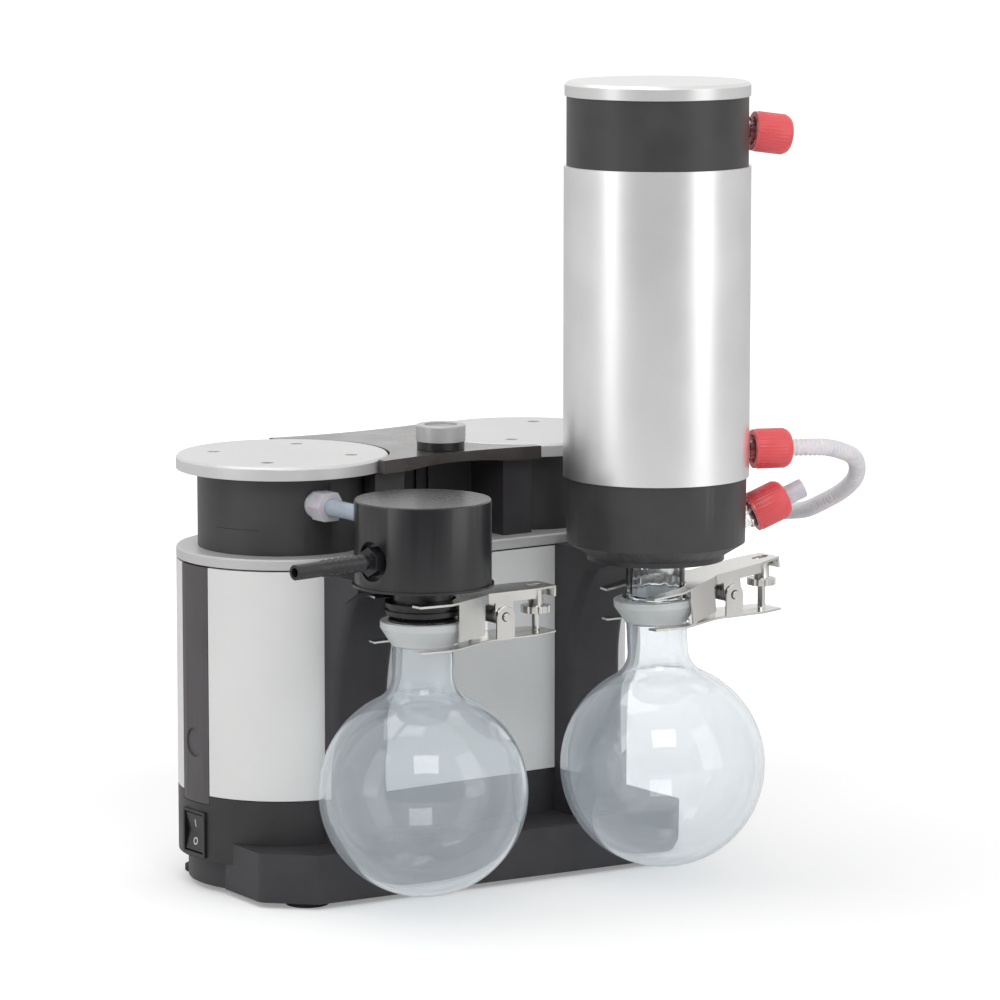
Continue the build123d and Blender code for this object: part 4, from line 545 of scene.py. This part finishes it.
def makeRockerMarks(look):
    surface = surfaceOf("rocker")
    middle = middleOf("rocker")
    inward = Vector((1, 0, 0))

    def corner(across, up, stand):
        start = middle + Vector((-look["away"], across, up)) * mm
        return laidOn(surface, start, inward, stand * mm)

    ring = look["ring"]
    bar = look["bar"]
    turns = [2 * pi * index / ring["corners"] for index in range(ring["corners"])]
    steps = [bar["rise"] + bar["halfHeight"] * share for share in (-1, -0.5, 0, 0.5, 1)]
    circles = []
    lines = []
    for stand in (look["stand"], -look["sunk"]):
        for radius in (ring["outer"], ring["inner"]):
            spots = [(radius * cos(turn), radius * sin(turn) - ring["drop"]) for turn in turns]
            circles.append([corner(across, up, stand) for across, up in spots])
        for side in (-1, 1):
            lines.append([corner(side * bar["halfWidth"], up, stand) for up in steps])
    thinPlate("rocker_off_mark", circles, True, markWhite, "rocker")
    thinPlate("rocker_on_mark", lines, False, markWhite, "rocker")


# head slit: a fine moulding line on the left head, on the side towards the front, drawn as a thin black
# strip of painted shade standing for the shade inside the slit
headSlitShade = {
    "towards": (-0.5744, -0.8052, 0),
    "height": 13.0,
    "thick": 0.35,
    "from": -48,
    "to": -14,
    "steps": 18,
    "away": 100.0,
    "stand": 0.03,
    "sunk": 0.15,
}
# painted shade: a near-black colour laid on the head where the slit's own shade falls
slitPaintedShade = makeFinish("slitPaintedShade", {
    "effect": "moulded", "colour": (0.006, 0.006, 0.006), "shade": (0.005, 0.005, 0.005),
    "roughness": (0.6, 0.7), "bump": 0.2, "depth": 0.02,
})


def makeHeadSlitShade(look):
    surface = surfaceOf("head_body_left")
    low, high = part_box("head_body_left")
    middle = middleOf("head_cover_left")
    towards = Vector(look["towards"]).normalized()
    span = look["to"] - look["from"]
    rows = []
    for stand in (look["stand"], -look["sunk"]):
        for side in (-0.5, 0.5):
            height = low[2] + (look["height"] + side * look["thick"]) * mm
            row = []
            for index in range(look["steps"] + 1):
                turn = radians(look["from"] + span * index / look["steps"])
                outward = Matrix.Rotation(turn, 3, "Z") @ towards
                start = Vector((middle.x, middle.y, height)) + outward * look["away"] * mm
                row.append(laidOn(surface, start, -outward, stand * mm))
            rows.append(row)
    thinPlate("head_slit_painted_shade", rows, False, slitPaintedShade, "head_body_left")


# red caps: a band of axial ribs round each, between its plain ends
capRibs = {
    "count": 36,
    "height": 0.3,
    "crest": (0, 0.75, 1, 0.75),
    "widest": 0.97,
    "start": 1.5,
    "end": 3.2,
    "slope": 0.5,
    "flush": 0.05,
    "sunk": 0.4,
    "corner": 50,
}


def makeCapRibs(node, look):
    joint = jointOf[bodyOf[node]]
    axis = Vector(joint["axis"]).normalized()
    place = Vector(joint["pos_m"])
    source = frame["nodes"][node]
    corners = [source.matrix_world @ vertex.co - place for vertex in source.data.vertices]
    heights = [corner.dot(axis) for corner in corners]
    radii = [(corner - axis * height).length for corner, height in zip(corners, heights)]
    radius = max(radii)
    wide = [height for height, reach in zip(heights, radii) if reach > look["widest"] * radius]
    first = min(wide) + look["start"] * mm
    last = max(heights) - look["end"] * mm
    slope = look["slope"] * mm
    loops = [
        (first, -look["sunk"], 0),
        (first, -look["flush"], 0),
        (first + slope, 0, look["height"]),
        (last - slope, 0, look["height"]),
        (last, -look["flush"], 0),
        (last, -look["sunk"], 0),
    ]
    side = axis.orthogonal().normalized()
    other = axis.cross(side)
    shape = bmesh.new()
    rings = []
    for along, rise, height in loops:
        reaches = [radius + (rise + height * crest) * mm for crest in look["crest"] * look["count"]]
        rings.append(ringAt(shape, place + axis * along, side, other, reaches))
    for near, far in zip(rings, rings[1:] + rings[:1]):
        joinRings(shape, near, far)
    bmesh.ops.recalc_face_normals(shape, faces=shape.faces)
    ribs = objectFrom(shape, node + "_ribs", finishes[slotOf[node]])
    smoothUpTo(ribs, look["corner"])
    ridesWith(ribs, node)


makeRockerMarks(rockerMarks)
makeHeadSlitShade(headSlitShade)
for node in ("red_cap_upper", "red_cap_middle", "red_cap_lower"):
    makeCapRibs(node, capRibs)
print("marks and ribs are laid on")

# vent hose: the route's corners, from the middle cap round to the right head
ventHose = {
    "route": [
        (137.78, -88.70, 224.0),
        (148.98, -93.22, 224.0),
        (161.34, -93.7, 222.7),
        (184.34, -86.7, 215.1),
        (194.44, -72.2, 198.3),
        (192.44, -38.2, 181.6),
        (203.24, -14.3, 176.5),
        (198.14, 18.5, 171.8),
        (187.84, 47.2, 189.2),
        (161.34, 61.2, 200.0),
        (134.59, 61.2, 200.0),
    ],
    "fineness": 32,
    "radius": 4.5,
    "length": 260,
    "pitch": 2.6,
    "depth": 0.45,
    "sides": 28,
    "rings": 6,
}


def routeLine(hose):
    line = bpy.data.curves.new("hoseLine", "CURVE")
    line.dimensions = "3D"
    line.resolution_u = hose["fineness"]
    spline = line.splines.new("NURBS")
    spline.points.add(len(hose["route"]) - 1)
    for corner, place in zip(spline.points, hose["route"]):
        corner.co = (*[value * mm for value in place], 1)
    spline.order_u = 3
    spline.use_endpoint_u = True
    carrier = bpy.data.objects.new("hoseLine", line)
    bpy.context.collection.objects.link(carrier)
    mesh = bpy.data.meshes.new_from_object(carrier)
    places = [vertex.co.copy() for vertex in mesh.vertices]
    bpy.data.objects.remove(carrier)
    return places


def evenSteps(places, step):
    even = [places[0]]
    left = step
    for start, end in zip(places, places[1:]):
        run = (end - start).length
        while left <= run:
            even.append(start.lerp(end, left / run))
            left += step
        left -= run
    even.append(places[-1])
    return even


# a tube along the line, pinched between its ribs and closed at both ends
def ribbedHose(hose, line):
    places = evenSteps(line, hose["pitch"] / hose["rings"] * mm)
    tube = bmesh.new()
    side = Vector((0, 0, 1))
    rings = []
    for index, place in enumerate(places):
        ahead = (places[min(index + 1, len(places) - 1)] - places[max(index - 1, 0)]).normalized()
        side = (side - ahead * side.dot(ahead)).normalized()
        wave = 0.5 - 0.5 * cos(2 * pi * index / hose["rings"])
        radius = (hose["radius"] - hose["depth"] * wave) * mm
        rings.append(ringAt(tube, place, side, ahead.cross(side), [radius] * hose["sides"]))
    for near, far in zip(rings, rings[1:]):
        joinRings(tube, near, far)
    tube.faces.new(reversed(rings[0]))
    tube.faces.new(rings[-1])
    bmesh.ops.recalc_face_normals(tube, faces=tube.faces)
    piece = objectFrom(tube, "ribbed_vent_hose", finishes["hose_white"])
    for polygon in piece.data.polygons:
        polygon.use_smooth = len(polygon.vertices) == 4
    return piece


hoseLine = routeLine(ventHose)
hosePiece = ribbedHose(ventHose, hoseLine)
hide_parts("vent_hose")
ridesWith(hosePiece, "vent_hose")
print("hose is laid")

# floor: white to the camera far off, and near the pump it keeps the shadow
floorLook = {
    "half": 30.0,
    "colour": 0.84,
    "mottle": 0.01,
    "near": 0.26,
    "far": 0.66,
    "from": 0.25,
    "to": 1.0,
}


# seen by the camera, straight or through glass
def seenDirectly(tree, seen):
    return maths(tree, "MAXIMUM", seen["Is Camera Ray"], seen["Is Transmission Ray"])


def makeFloorFinish(look):
    material = bpy.data.materials.new("floorWhite")
    material.use_nodes = True
    tree = material.node_tree
    tree.nodes.clear()
    place = addNode(tree, "TexCoord").outputs["Object"]
    distance = addNode(tree, "VectorMath", {0: place}, operation="LENGTH").outputs["Value"]
    mottle = noise(tree, place, 3.0, 4.0)
    shade = ranged(tree, mottle, 0.0, 1.0, look["colour"] - look["mottle"], look["colour"] + look["mottle"])
    white = addNode(tree, "BsdfDiffuse", {"Color": shade})
    limits = (look["from"], look["to"], look["near"], look["far"])
    glow = ranged(tree, distance, *limits, interpolation_type="SMOOTHSTEP")
    strength = maths(tree, "MULTIPLY", glow, seenDirectly(tree, addNode(tree, "LightPath").outputs))
    light = addNode(tree, "Emission", {"Color": (1, 1, 1, 1), "Strength": strength})
    both = addNode(tree, "AddShader", {0: white.outputs[0], 1: light.outputs[0]})
    addNode(tree, "OutputMaterial", {"Surface": both.outputs[0]})
    return material


def makeFloor(look):
    plane = bmesh.new()
    bmesh.ops.create_grid(plane, x_segments=1, y_segments=1, size=look["half"])
    objectFrom(plane, "floor", makeFloorFinish(look))


# room: white to the camera and through glass; reflections find pale sides and a dim wall in front
roomLook = {
    "seen": 1.0,
    "light": 0.6,
    "sides": 1.0,
    "front": 0.06,
    "facing": (-0.58, -0.814, 0.0),
    "from": 0.62,
    "to": 0.96,
}


def makeRoom(look):
    world = bpy.data.worlds.new("studio")
    bpy.context.scene.world = world
    world.use_nodes = True
    tree = world.node_tree
    seen = addNode(tree, "LightPath").outputs
    ahead = addNode(tree, "TexCoord").outputs["Generated"]
    facing = addNode(tree, "VectorMath", {0: ahead, 1: look["facing"]}, operation="DOT_PRODUCT")
    limits = (look["from"], look["to"], look["sides"], look["front"])
    wall = ranged(tree, facing.outputs["Value"], *limits, interpolation_type="SMOOTHSTEP")
    mirrored = addNode(tree, "Mix", {0: seen["Is Glossy Ray"], 2: look["light"], 3: wall}).outputs[0]
    strength = addNode(tree, "Mix", {0: seenDirectly(tree, seen), 2: mirrored, 3: look["seen"]}).outputs[0]
    tree.links.new(strength, tree.nodes["Background"].inputs["Strength"])
    tree.nodes["Background"].inputs["Color"].default_value = (1, 1, 1, 1)


# lamps: two tall softboxes that leave the bright bands on the upright cylinders, one overhead, one in front
lamps = [
    {
        "name": "leftSoftbox", "size": (0.45, 1.1), "power": 1.6,
        "place": (-1.25, 0.05, 0.62), "aim": (0, -0.05, 0.25),
    },
    {
        "name": "rightSoftbox", "size": (0.6, 1.1), "power": 2.3,
        "place": (0.5, -1.2, 0.62), "aim": (0.05, -0.05, 0.25),
    },
    {
        "name": "topSoftbox", "size": (1.0, 1.0), "power": 5.0,
        "place": (-0.25, 0.3, 1.5), "aim": (0, 0, 0.1),
    },
    {
        "name": "frontFill", "size": (0.9, 0.7), "power": 8.5,
        "place": (-0.8, -1.3, 1.35), "aim": (0, 0, 0.15),
    },
]


def makeLamp(look):
    lamp = bpy.data.objects.new(look["name"], bpy.data.lights.new(look["name"], "AREA"))
    bpy.context.collection.objects.link(lamp)
    lamp.data.shape = "RECTANGLE"
    lamp.data.size, lamp.data.size_y = look["size"]
    lamp.data.energy = look["power"]
    lamp.visible_camera = False
    direction = Vector(look["aim"]) - Vector(look["place"])
    turn = direction.to_track_quat("-Z", "Y").to_matrix().to_4x4()
    lamp.matrix_world = Matrix.Translation(look["place"]) @ turn


makeFloor(floorLook)
makeRoom(roomLook)
for look in lamps:
    makeLamp(look)
bpy.context.scene.view_settings.view_transform = "Standard"
print("studio is lit")
